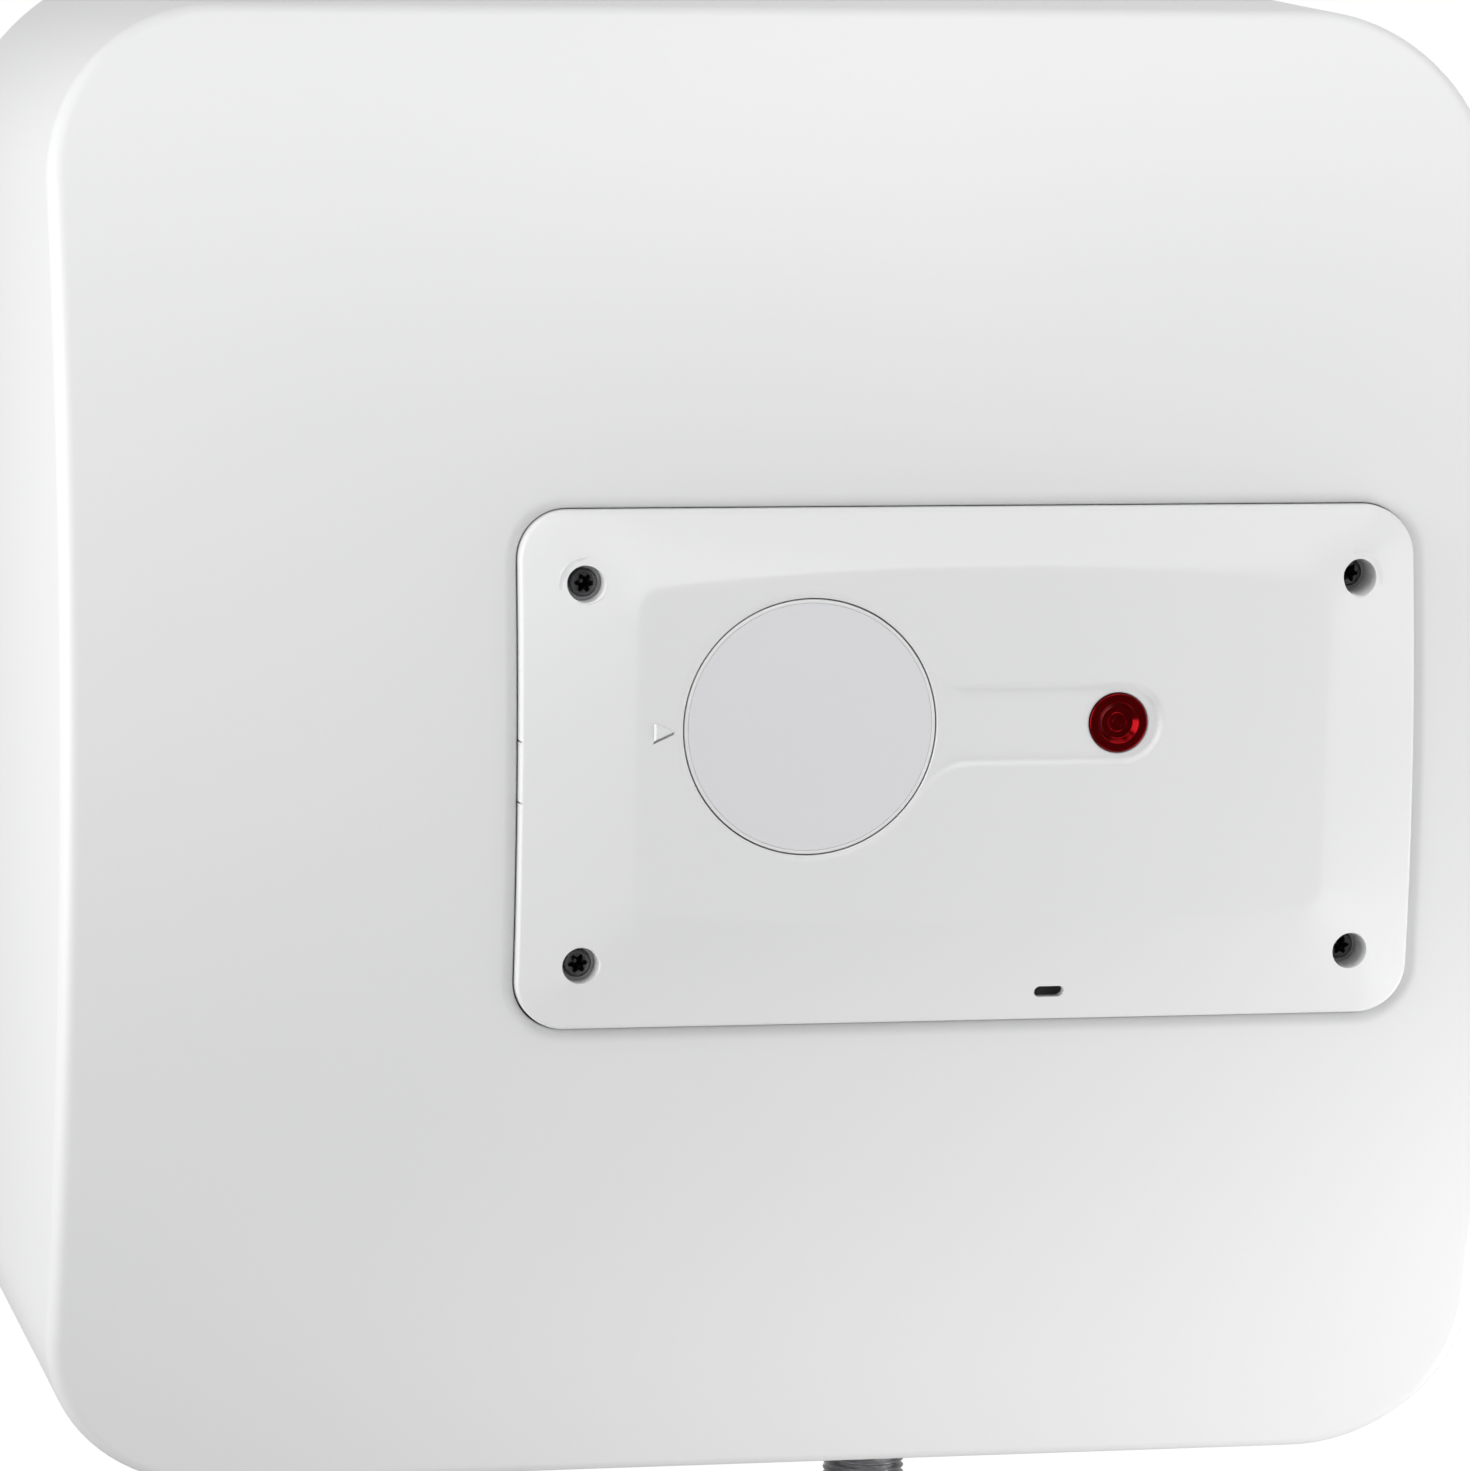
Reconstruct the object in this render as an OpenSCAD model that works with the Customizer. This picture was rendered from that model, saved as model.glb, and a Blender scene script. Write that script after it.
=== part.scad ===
// Compact wall-hung electric storage water heater, 15 litre class.
// The heater faces -Y and hangs on a wall in the XZ plane. The origin is midway between the wall
// bracket's two screw holes, on the wall. "Depth" below means the distance in front of the wall.

/* [Casing] */
// Width and height of the casing at the seam between its two halves
body_size = 360; // [356:1:366]
// Depth from the wall to the crown of the curved front
front_depth = 336; // [334:1:340]
// Depth of the seam between the front and the rear casing
seam_depth = 131; // [129:1:133]
// Radius of the front's curve, seen from the side
front_curve_r = 430; // [425:5:460]
// Wall thickness of the moulded casings
wall = 2.5; // [2.4:0.1:2.6]

/* [Tank] */
// Outer radius of the tank
tank_r = 146; // [144:1:146]
// Thickness of the tank's sheet steel
tank_wall = 2; // [1.6:0.1:2.2]

/* [Connections] */
// Distance between the cold and hot connections
pipe_spacing = 100; // [98:1:102]
// Outer radius of a G1/2 male thread
pipe_r = 10.48; // [10.4:0.01:10.5]
// How far the connections stand out below the casing
pipe_drop = 36; // [32:1:40]

/* [Controls] */
// Width of the control cover
cover_w = 221; // [220:1:222]
// Height of the control cover
cover_h = 124; // [123:1:125]
// Radius of the temperature dial
dial_r = 30.8; // [29.5:0.1:31]
// Radius of the indicator lens
lens_r = 7.15; // [7:0.05:7.2]

/* [Wall bracket] */
// Distance between the two wall screw holes
wall_hole_spacing = 160; // [150:2:170]
// Radius of a wall screw hole
wall_hole_r = 4.25; // [3.5:0.25:4.5]

/* [Hidden] */
$fn = 96;

touch = 0.3;              // gap left between curved faces that only face each other
body_z = -105;            // centre of the casing, from the bracket holes
front_size = body_size - 4;
front_corner_r = 39;
seam_corner_r = 55.5;
back_size = body_size - 60;
back_corner_r = 80;
back_depth = 8;           // gap between the casing's back and the wall
crown_z = -17;            // height of the front's crown, from the casing's centre
curve_centre = front_depth - front_curve_r;

tank_front = 252;         // depth of the barrel's front end
tank_back = 62;           // depth of the barrel's rear end
head_rise = 30;           // how far each dished head stands out
head_r = (tank_r * tank_r + head_rise * head_rise) / (2 * head_rise);
flange_hole_r = 33;
flange_pcd = 84;
flange_face = 288;        // depth of the welded ring's face
gasket_t = 2;
plate_t = 3;
plate_front = flange_face + gasket_t + plate_t;
plate_r = 50;

pipe_x = pipe_spacing / 2;
pipe_depth = 208.3;
pipe_bore_r = 7.5;
pipe_neck_r = 10.2;       // plain part of a connection, above its thread
stub_top = -118;          // upper end of a connection, inside the tank
slot_r = 15;              // half width of the slots that let the pipes out of the casing
collar_r = 14.6;
casing_bottom = -(front_size / 2) - 1;

cover_x = 41.5;
cover_z = -0.3;
cover_corner_r = 12;
pocket_gap = 1;           // shadow gap round the control cover
pocket_drop = 8;          // how deep the cover's pocket is sunk into the front
rim_rise = 1.6;           // how far the cover's edge stands out of the front
plateau_depth = 343.4;    // depth of the cover's flat raised middle
plateau_x = 43.6;
plateau_z = 6.8;
plateau_w = 169;
plateau_h = 81.5;
screw_dx = 95.3;
screw_dz = 45.7;
screw_x = 41.3;
screw_z = -0.6;
well_r = 4.4;
well_floor_left = 333;    // depth of the floors of the cover's left screw wells
well_floor_right = 327.7; // mean depth of the floors of the right wells, which are deeper
well_floor_step = 1.1;    // the lower right well is this much nearer the front, the upper further

dial_z = 11;
dial_front = plateau_depth - 0.6;
dial_floor = 332.5;       // depth of the round recess that the dial turns in
dial_gap = 0.8;
lens_x = 76;
groove_half_w = 9.3;
groove_floor = plateau_depth - 1.2;

boss_at = 118;            // corner screws, from the casing's centre along X and Z
boss_r = 6;

pointer_z = 10.35;        // height of the raised mark beside the dial

element_x = 14;
element_z = -14;
element_r = 4.25;
element_back = 105;       // depth where the hairpin starts to turn
anode_x = 21;
anode_z = 8;
earth_x = -25;
earth_z = -17;
thermostat_back = plate_front + 6;
thermostat_front = thermostat_back + 22;
spindle_tip = 337;
reset_x = 19;

hole_depth_margin = 1;    // overrun of a cutter past the face it leaves
grommet_x = 100;
grommet_depth = 250;
grommet_bore_r = 4;
hanger_depth = 22;
bracket_t = 2.5;
tray_w = 220;             // hollow in the casing's back that holds the bracket
tray_h = 76;
tray_z = -12;

// ---- shared shapes ----

// Rounded rectangle with true arcs at its corners
module rounded(w, h, r) {
    square([w - 2 * r, h], center = true);
    square([w, h - 2 * r], center = true);
    for (sx = [-1, 1], sz = [-1, 1])
        translate([sx * (w / 2 - r), sz * (h / 2 - r)]) circle(r);
}

// Extrude an XZ outline between two depths, measured from the wall
module between(d0, d1) {
    translate([0, -d0, 0]) rotate([90, 0, 0]) linear_extrude(d1 - d0) children();
}

// Round bar along the depth
module bar(r, d0, d1) {
    translate([0, -d0, 0]) rotate([90, 0, 0]) cylinder(r = r, h = d1 - d0);
}

// Turn an outline of (radius, depth) about the depth axis
module turned() {
    rotate([90, 0, 0]) rotate_extrude() children();
}

// Round bar along Z
module post(r, z0, z1) {
    translate([0, 0, z0]) cylinder(r = r, h = z1 - z0);
}

// Everything behind the curved front, set back by a distance
module behind_curve(set_back) {
    translate([0, -curve_centre, crown_z])
        rotate([0, 90, 0])
            cylinder(r = front_curve_r - set_back, h = 2 * body_size, center = true, $fn = 720);
}

// Move from the origin to the casing's centre
module at_body() {
    translate([0, 0, body_z]) children();
}

// Half the front casing's width at a depth
function half_at(depth) =
    body_size / 2 - (body_size - front_size) / 2 * (depth - seam_depth) / (front_depth - seam_depth);

// Radius of the front casing's corners at a depth
function corner_at(depth) =
    seam_corner_r - (seam_corner_r - front_corner_r) * (depth - seam_depth) / (front_depth - seam_depth);

// Points round a rounded rectangle, eight steps to each corner
function outline(w, h, r, x = 0, z = 0) = [
    for (c = [[1, 1, 0], [-1, 1, 90], [-1, -1, 180], [1, -1, 270]], k = [0:8])
        [x + c[0] * (w / 2 - r) + r * cos(c[2] + 11.25 * k),
         z + c[1] * (h / 2 - r) + r * sin(c[2] + 11.25 * k)]
];

// Flat-faced solid between an outline near the wall and one in front of it
module tapered(near, near_depth, far, far_depth) {
    n = len(near);
    polyhedron(
        points = concat([for (p = near) [p[0], -near_depth, p[1]]], [for (p = far) [p[0], -far_depth, p[1]]]),
        faces = [
            [for (i = [0:n - 1]) i],
            [for (i = [n - 1:-1:0]) n + i],
            for (i = [0:n - 1]) [i, n + i, n + (i + 1) % n, (i + 1) % n]
        ]
    );
}

// Outline of the front casing at a depth
function front_outline(depth, inset) =
    outline(2 * (half_at(depth) - inset), 2 * (half_at(depth) - inset), corner_at(depth) - inset);

// Tapered block that runs from near the seam to past the crown
module front_block(inset, d0) {
    tapered(front_outline(d0, inset), d0, front_outline(front_depth + 15, inset), front_depth + 15);
}

// Outline of the rear casing at a depth
function rear_outline(depth, inset) =
    let (part = (depth - back_depth) / (seam_depth - back_depth),
         size = back_size + (body_size - back_size) * part - 2 * inset)
    outline(size, size, back_corner_r + (seam_corner_r - back_corner_r) * part - inset);

// Tapered block from the seam back to a depth near the wall
module rear_block(inset, back, seam) {
    tapered(rear_outline(back, inset), back, rear_outline(seam, inset), seam);
}

// The tank's outside, grown by a clearance
module tank_space(grow) {
    bar(tank_r + grow, tank_back - 1, tank_front + 1);
    intersection() {
        translate([0, -(tank_front + head_rise - head_r), 0]) sphere(head_r + grow);
        bar(tank_r + grow, tank_front, tank_front + 2 * head_rise);
    }
    intersection() {
        translate([0, -(tank_back - head_rise + head_r), 0]) sphere(head_r + grow);
        bar(tank_r + grow, tank_back - 2 * head_rise, tank_back);
    }
}

// Copies at the four cover screws
module at_cover_screws() {
    for (sx = [-1, 1], sz = [-1, 1])
        translate([screw_x + sx * screw_dx, 0, screw_z + sz * screw_dz]) children();
}

// Depth of the floor of one screw well
function well_floor(sx, sz) = sx < 0 ? well_floor_left : well_floor_right - sz * well_floor_step;

// Round bar at each cover screw, its ends measured from the floor of that screw's well
module screw_bars(r, from_floor, to_floor) {
    for (sx = [-1, 1], sz = [-1, 1])
        translate([screw_x + sx * screw_dx, 0, screw_z + sz * screw_dz])
            bar(r, well_floor(sx, sz) + from_floor, well_floor(sx, sz) + to_floor);
}

// Copies at the four corner screws
module at_corner_screws() {
    for (sx = [-1, 1], sz = [-1, 1])
        translate([sx * boss_at, 0, sz * boss_at]) children();
}

// Copies at the six flange bolts
module at_flange_bolts() {
    for (i = [0:5])
        rotate([0, 30 + 60 * i, 0]) translate([flange_pcd / 2, 0, 0]) children();
}

// Outline of the opening behind the control cover
module service_opening(grow) {
    circle(52 + grow);
    translate([61, 0]) square([122 + 2 * grow, 68 + 2 * grow], center = true);
}

// Outline of a pipe slot, open towards the seam
module pipe_slot(half_w, side, depth_end) {
    translate([side * pipe_x, -pipe_depth]) circle(half_w);
    translate([side * pipe_x - half_w, -pipe_depth])
        square([2 * half_w, pipe_depth - depth_end]);
}

// Direction of a path at one of its points
function heading(path, i) =
    let (step = path[min(i + 1, len(path) - 1)] - path[max(i - 1, 0)])
    step / norm(step);

// Eight points round a path's point, in the plane across it
function ring(path, i, r, side_hint) =
    let (across = cross(heading(path, i), side_hint),
         u = across / norm(across),
         v = cross(heading(path, i), u))
    [for (k = [0:7]) path[i] + r * (cos(45 * k) * u + sin(45 * k) * v)];

// Insulated wire along a path
module wire(path, r, side_hint) {
    n = len(path);
    polyhedron(
        points = [for (i = [0:n - 1]) each ring(path, i, r, side_hint)],
        faces = [
            [for (k = [0:7]) k],
            [for (k = [7:-1:0]) (n - 1) * 8 + k],
            for (i = [0:n - 2], k = [0:7])
                [i * 8 + (k + 1) % 8, i * 8 + k, (i + 1) * 8 + k, (i + 1) * 8 + (k + 1) % 8]
        ]
    );
}

// Raised middle of the control cover, with sloping borders
module plateau(inset) {
    tapered(
        outline(cover_w - 2 - 2 * inset, cover_h - 2 - 2 * inset, 10, cover_x, cover_z), 329 - inset,
        outline(plateau_w - 2 * inset, plateau_h - 2 * inset, 8, plateau_x, plateau_z),
        plateau_depth - inset
    );
}

// ---- casing ----

module front_shell() {
    color([0.93, 0.93, 0.93]) at_body() difference() {
        union() {
            difference() {
                intersection() {
                    front_block(0, seam_depth);
                    behind_curve(0);
                }
                intersection() {
                    front_block(wall, seam_depth - hole_depth_margin);
                    behind_curve(wall);
                }
            }
            // tray that the control cover sits in
            intersection() {
                translate([cover_x, 0, cover_z]) between(290, front_depth)
                    rounded(cover_w + 2 * pocket_gap + 5, cover_h + 2 * pocket_gap + 5, cover_corner_r + 4);
                difference() {
                    behind_curve(0.5);
                    behind_curve(pocket_drop + wall);
                }
            }
            at_cover_screws() bar(4.5, 305, front_depth);
            intersection() {
                at_corner_screws() bar(boss_r, seam_depth + 2, front_depth);
                behind_curve(0.5);
            }
        }
        difference() {
            translate([cover_x, 0, cover_z]) between(290, front_depth + 10)
                rounded(cover_w + 2 * pocket_gap, cover_h + 2 * pocket_gap, cover_corner_r + pocket_gap);
            behind_curve(pocket_drop);
        }
        between(280, front_depth) service_opening(0);
        at_cover_screws() bar(1.5, 308, 340);
        at_corner_screws() bar(1.9, seam_depth, seam_depth + 24);
        for (side = [-1, 1])
            translate([0, 0, casing_bottom - 4]) linear_extrude(12)
                pipe_slot(slot_r, side, seam_depth - hole_depth_margin);
        translate([grommet_x, -grommet_depth, 0]) post(7.4, casing_bottom - 4, casing_bottom + 12);
    }
}

module rear_shell() {
    color([0.9, 0.9, 0.9]) difference() {
        union() {
            at_body() difference() {
                rear_block(0, back_depth, seam_depth);
                rear_block(wall, back_depth + wall, seam_depth + 1);
            }
            // lip that locates the front casing
            at_body() difference() {
                between(seam_depth - 8, seam_depth + 6)
                    rounded(body_size - 2 * wall - 0.7, body_size - 2 * wall - 0.7, seam_corner_r - wall - 0.35);
                between(seam_depth - 9, seam_depth + 7)
                    rounded(body_size - 2 * wall - 3.5, body_size - 2 * wall - 3.5, seam_corner_r - wall - 1.75);
            }
            // tray round the wall bracket
            translate([0, 0, tray_z]) between(back_depth, 26.5)
                rounded(tray_w + 2 * wall, tray_h + 2 * wall, 6);
            at_body() at_corner_screws() bar(boss_r + 1.5, back_depth + 1, seam_depth);
            // tongues that close the pipe slots
            at_body() for (side = [-1, 1])
                translate([side * pipe_x - slot_r + 0.3, 0, 0]) rotate([90, 0, 90])
                    linear_extrude(2 * slot_r - 0.6) polygon([
                        [-seam_depth + 1, -half_at(seam_depth) + wall],
                        [-pipe_depth, -half_at(pipe_depth) + wall],
                        [-pipe_depth, -half_at(pipe_depth)],
                        [-seam_depth, -half_at(seam_depth)],
                        [-seam_depth + 1, -half_at(seam_depth) + 1]
                    ]);
        }
        translate([0, 0, tray_z]) between(back_depth - 1, 24) rounded(tray_w, tray_h, 4);
        at_body() at_corner_screws() {
            bar(2.6, back_depth - 1, seam_depth + 1);
            bar(boss_r, back_depth - 1, seam_depth - 13);
        }
        for (sx = [-1, 1]) translate([sx * 60, 0, -34]) bar(7.6, 20, 30);
        for (side = [-1, 1])
            translate([side * pipe_x, -pipe_depth, body_z]) post(slot_r, casing_bottom - 5, casing_bottom + 9);
    }
}

module shell_screws() {
    color([0.7, 0.7, 0.72]) at_body() at_corner_screws() difference() {
        union() {
            bar(4.8, seam_depth - 16, seam_depth - 13);
            bar(1.87, seam_depth - 13, seam_depth + 22);
        }
        between(seam_depth - 17, seam_depth - 14.5) {
            square([5, 1.2], center = true);
            square([1.2, 5], center = true);
        }
    }
}

module front_insulation() {
    color([0.95, 0.93, 0.82]) at_body() difference() {
        intersection() {
            front_block(wall + 0.5, seam_depth + 0.3);
            behind_curve(wall + 0.5);
        }
        tank_space(touch);
        translate([cover_x, 0, cover_z]) between(300, front_depth + 5)
            rounded(cover_w + 2 * pocket_gap + 6, cover_h + 2 * pocket_gap + 6, cover_corner_r + 4);
        between(240, front_depth) service_opening(4);
        at_corner_screws() bar(boss_r + touch, seam_depth - 1, front_depth);
        // ledge that clears the rear casing's lip
        difference() {
            between(seam_depth - 1, seam_depth + 6.5) square(2 * body_size, center = true);
            between(seam_depth - 2, seam_depth + 7.5)
                rounded(body_size - 2 * wall - 4, body_size - 2 * wall - 4, seam_corner_r - wall - 2);
        }
        for (side = [-1, 1])
            translate([side * pipe_x, -pipe_depth, 0]) post(slot_r + 1, casing_bottom - 5, -100);
        translate([grommet_x, -grommet_depth, 0]) post(10, casing_bottom - 5, -40);
    }
}

module rear_insulation() {
    color([0.95, 0.93, 0.82]) difference() {
        at_body() rear_block(wall + 0.5, back_depth + wall + 0.5, seam_depth - 0.3);
        at_body() tank_space(touch);
        translate([0, 0, tray_z]) between(back_depth, 27)
            rounded(tray_w + 2 * wall + 1, tray_h + 2 * wall + 1, 6);
        at_body() at_corner_screws() bar(boss_r + 1.5 + touch, back_depth, seam_depth + 1);
        for (sx = [-1, 1]) translate([sx * 60, 0, -34]) bar(9, 20, 60);
        at_body() difference() {
            between(seam_depth - 8.5, seam_depth + 1) square(2 * body_size, center = true);
            between(seam_depth - 9, seam_depth + 2)
                rounded(body_size - 2 * wall - 4, body_size - 2 * wall - 4, seam_corner_r - wall - 2);
        }
    }
}

module cable_grommet() {
    color([0.25, 0.25, 0.26]) translate([grommet_x, -grommet_depth, body_z + casing_bottom])
        rotate_extrude() polygon([
            [grommet_bore_r, -3.5], [8.5, -3.5], [9.5, -2.5], [9.5, 0], [7.2, 0], [7.2, 2.8],
            [9, 2.8], [8.2, 6.5], [grommet_bore_r, 6.5]
        ]);
}

// ---- tank ----

module tank_barrel() {
    color([0.24, 0.36, 0.55]) at_body() difference() {
        bar(tank_r, tank_back, tank_front);
        bar(tank_r - tank_wall, tank_back - 1, tank_front + 1);
        for (side = [-1, 1])
            translate([side * pipe_x, -pipe_depth, 0]) post(pipe_neck_r + 0.02, -tank_r - 2, -100);
    }
}

// Dished head, from its rim at depth 0 forwards
module dished_head() {
    difference() {
        intersection() {
            translate([0, head_r - head_rise, 0]) sphere(head_r, $fn = 180);
            bar(tank_r, 0, head_rise + 1);
        }
        intersection() {
            translate([0, head_r - head_rise, 0]) sphere(head_r - tank_wall, $fn = 180);
            bar(tank_r - tank_wall, -1, head_rise + 1);
        }
    }
}

module tank_front_head() {
    color([0.24, 0.36, 0.55]) at_body() translate([0, -tank_front, 0]) difference() {
        dished_head();
        bar(flange_hole_r, -1, head_rise + 2);
    }
}

module tank_rear_head() {
    color([0.24, 0.36, 0.55]) at_body() translate([0, -tank_back, 0])
        rotate([0, 0, 180]) dished_head();
}

// Connection through the barrel's wall, threaded at its lower end
module stub(side) {
    translate([side * pipe_x, -pipe_depth, 0]) difference() {
        union() {
            post(pipe_r, casing_bottom - pipe_drop, casing_bottom - 4);
            post(pipe_neck_r, casing_bottom - 5, stub_top);
        }
        post(pipe_bore_r, casing_bottom - pipe_drop - 1, stub_top + 1);
    }
}

module cold_inlet_stub() {
    color([0.62, 0.62, 0.64]) at_body() stub(1);
}

module hot_outlet_stub() {
    color([0.62, 0.62, 0.64]) at_body() stub(-1);
}

// Ring that fills the slot round a connection
module pipe_collar(side) {
    translate([side * pipe_x, -pipe_depth, casing_bottom]) rotate_extrude() polygon([
        [pipe_neck_r + 0.05, -2], [collar_r + 2.4, -2], [collar_r + 3, -1.4], [collar_r + 3, -0.45],
        [collar_r, -0.45], [collar_r, 5.5], [pipe_neck_r + 0.05, 5.5]
    ]);
}

module cold_pipe_collar() {
    color([0.12, 0.3, 0.7]) at_body() pipe_collar(1);
}

module hot_pipe_collar() {
    color([0.75, 0.12, 0.1]) at_body() pipe_collar(-1);
}

module inlet_diffuser() {
    color([0.85, 0.85, 0.8]) at_body() translate([pipe_x, -pipe_depth, stub_top]) difference() {
        post(12.3, -9, 20);
        post(pipe_neck_r + 0.05, -10, 18);
        for (a = [0:3]) rotate([0, 0, 90 * a + 45]) translate([0, -3, 2]) cube([20, 6, 13]);
    }
}

module hot_standpipe() {
    color([0.72, 0.45, 0.3]) at_body() translate([-pipe_x, -pipe_depth, 0]) difference() {
        post(pipe_bore_r - 0.05, -150, 128);
        post(pipe_bore_r - 1, -151, 129);
    }
}

// ---- flange and heating ----

module flange_ring() {
    color([0.55, 0.56, 0.58]) at_body() difference() {
        bar(plate_r, tank_front + 20, flange_face);
        bar(flange_hole_r, tank_front, flange_face + 1);
        translate([0, -(tank_front + head_rise - head_r), 0]) sphere(head_r, $fn = 180);
        at_flange_bolts() bar(3.02, tank_front, flange_face + 1);
    }
}

module flange_studs() {
    color([0.7, 0.7, 0.72]) at_body() at_flange_bolts() bar(3, flange_face - 4, flange_face + 14);
}

module flange_gasket() {
    color([0.12, 0.12, 0.12]) at_body() difference() {
        bar(38, flange_face, flange_face + gasket_t);
        bar(32.5, flange_face - 1, flange_face + gasket_t + 1);
    }
}

module flange_plate() {
    color([0.55, 0.56, 0.58]) at_body() difference() {
        bar(plate_r, flange_face + gasket_t, plate_front);
        at_flange_bolts() bar(3.3, flange_face, plate_front + 1);
        for (sx = [-1, 1]) translate([sx * element_x, 0, element_z])
            bar(element_r + 0.02, flange_face, plate_front + 1);
        translate([0, 0, dial_z]) bar(6.02, flange_face, plate_front + 1);
        translate([anode_x, 0, anode_z]) bar(2.55, flange_face, plate_front + 1);
    }
}

// Hexagon nut on the depth axis
module nut(across_flats, hole_r, d0, d1) {
    difference() {
        between(d0, d1) circle(across_flats / sqrt(3), $fn = 6);
        bar(hole_r, d0 - 1, d1 + 1);
    }
}

module flange_nuts() {
    color([0.75, 0.75, 0.77]) at_body() at_flange_bolts() nut(10, 3.02, plate_front, plate_front + 5);
}

module heating_element() {
    color([0.72, 0.45, 0.32]) at_body() translate([0, 0, element_z]) {
        for (sx = [-1, 1]) translate([sx * element_x, 0, 0])
            bar(element_r, element_back, plate_front + 7);
        translate([0, -element_back, 0]) intersection() {
            rotate_extrude() translate([element_x, 0]) circle(element_r);
            translate([-30, 0, -10]) cube([60, 30, 20]);
        }
    }
}

module element_insulators() {
    color([0.93, 0.9, 0.84]) at_body() for (sx = [-1, 1])
        translate([sx * element_x, 0, element_z]) difference() {
            bar(3.6, plate_front + 7, plate_front + 12);
            bar(1.4, plate_front + 6, plate_front + 13);
        }
}

module element_tabs() {
    color([0.78, 0.7, 0.45]) at_body() for (sx = [-1, 1])
        translate([sx * element_x, 0, element_z]) {
            bar(1.38, plate_front + 7.05, plate_front + 14);
            between(plate_front + 14, plate_front + 23) square([0.8, 6.3], center = true);
        }
}

module anode_rod() {
    color([0.6, 0.61, 0.62]) at_body() translate([anode_x, 0, anode_z]) {
        bar(9, 120, flange_face - 4);
        bar(2.5, flange_face - 4, plate_front + 5.5);
    }
}

module anode_nut() {
    color([0.75, 0.75, 0.77]) at_body() translate([anode_x, 0, anode_z])
        nut(8, 2.52, plate_front, plate_front + 4);
}

module thermostat_pocket() {
    color([0.72, 0.45, 0.32]) at_body() translate([0, 0, dial_z]) difference() {
        bar(6, 170, plate_front + 2);
        bar(4.5, 172, plate_front + 3);
    }
}

module thermostat_probe() {
    color([0.66, 0.62, 0.5]) at_body() translate([0, 0, dial_z]) bar(3.4, 178, thermostat_back);
}

module thermostat_body() {
    color([0.18, 0.18, 0.19]) at_body() translate([0, 0, dial_z]) difference() {
        union() {
            between(thermostat_back, thermostat_front) rounded(52, 34, 3);
            bar(8, thermostat_front, thermostat_front + 4);
            for (sx = [-1, 1]) translate([sx * 10, 0, -19.5])
                between(thermostat_back + 8, thermostat_back + 15) square([0.8, 5.2], center = true);
        }
        bar(3.06, thermostat_back + 4, thermostat_front + 5);
        translate([reset_x, 0, 0]) bar(2.6, thermostat_front - 8, thermostat_front + 1);
    }
}

module thermostat_spindle() {
    color([0.8, 0.8, 0.82]) at_body() translate([0, 0, dial_z])
        bar(3, thermostat_back + 4.5, spindle_tip);
}

module reset_button() {
    color([0.75, 0.1, 0.08]) at_body() translate([reset_x, 0, dial_z])
        bar(2.5, thermostat_front - 5.5, thermostat_front + 2.5);
}

module earth_stud() {
    color([0.8, 0.7, 0.4]) at_body() translate([earth_x, 0, earth_z])
        bar(2, plate_front, plate_front + 12);
}

module earth_nut() {
    color([0.8, 0.7, 0.4]) at_body() translate([earth_x, 0, earth_z])
        nut(7, 2.02, plate_front + 1.5, plate_front + 5);
}

// ---- controls ----

module dial_knob() {
    color([0.92, 0.92, 0.92]) at_body() translate([0, 0, dial_z]) turned() polygon([
        [3.05, thermostat_front + 4.5], [7, thermostat_front + 4.5], [7, dial_floor + 1.5],
        [dial_r - 2, dial_floor + 1.5], [dial_r - 0.4, dial_floor + 2],
        [dial_r, dial_floor + 3], [dial_r, dial_front - 0.5], [dial_r - 0.5, dial_front],
        [dial_r - 1, dial_front], [dial_r - 1, dial_front - 0.8], [3.05, dial_front - 0.8]
    ]);
}

module dial_disc() {
    color([0.83, 0.83, 0.85]) at_body() translate([0, 0, dial_z])
        bar(dial_r - 1.1, dial_front - 0.8, dial_front - 0.1);
}

module panel_cover() {
    color([0.93, 0.93, 0.93]) at_body() difference() {
        union() {
            difference() {
                union() {
                    intersection() {
                        translate([cover_x, 0, cover_z]) between(310, front_depth + 4)
                            rounded(cover_w, cover_h, cover_corner_r);
                        behind_curve(-rim_rise);
                    }
                    plateau(0);
                }
                intersection() {
                    translate([cover_x, 0, cover_z]) between(300, front_depth + 4)
                        rounded(cover_w - 5, cover_h - 5, cover_corner_r - 2.5);
                    behind_curve(wall - rim_rise);
                }
                plateau(wall);
            }
            at_cover_screws() bar(well_r + 1.8, 317, 335.5);
            translate([0, 0, dial_z]) bar(dial_r + 3, dial_floor - 2.5, plateau_depth - 1);
            translate([lens_x, 0, dial_z]) bar(lens_r + 2, 328, plateau_depth - 1);
            // raised mark that the dial is read against
            translate([0, 0, pointer_z]) between(plateau_depth - 1, plateau_depth + 0.6)
                polygon([[-38.1, 2.25], [-38.1, -2.25], [-33.3, 0]]);
        }
        behind_curve(pocket_drop - 0.3);
        screw_bars(well_r, 0, 20);
        screw_bars(2.2, -20, 1);
        translate([0, 0, dial_z]) {
            bar(dial_r + dial_gap, dial_floor, plateau_depth + 1);
            bar(9, 300, plateau_depth + 1);
        }
        translate([lens_x, 0, dial_z]) bar(lens_r + 0.02, 300, plateau_depth + 1);
        // keyhole groove from the dial to the lens
        translate([0, 0, dial_z]) between(groove_floor, plateau_depth + 1) {
            translate([0, -groove_half_w]) square([lens_x + 1, 2 * groove_half_w]);
            translate([lens_x + 1, 0]) circle(groove_half_w);
        }
        // slot in the lower border
        translate([61.6, 0, -55]) between(300, plateau_depth + 1) {
            square([4.6, 2.8], center = true);
            for (sx = [-1, 1]) translate([sx * 2.3, 0]) circle(1.4);
        }
    }
}

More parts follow.
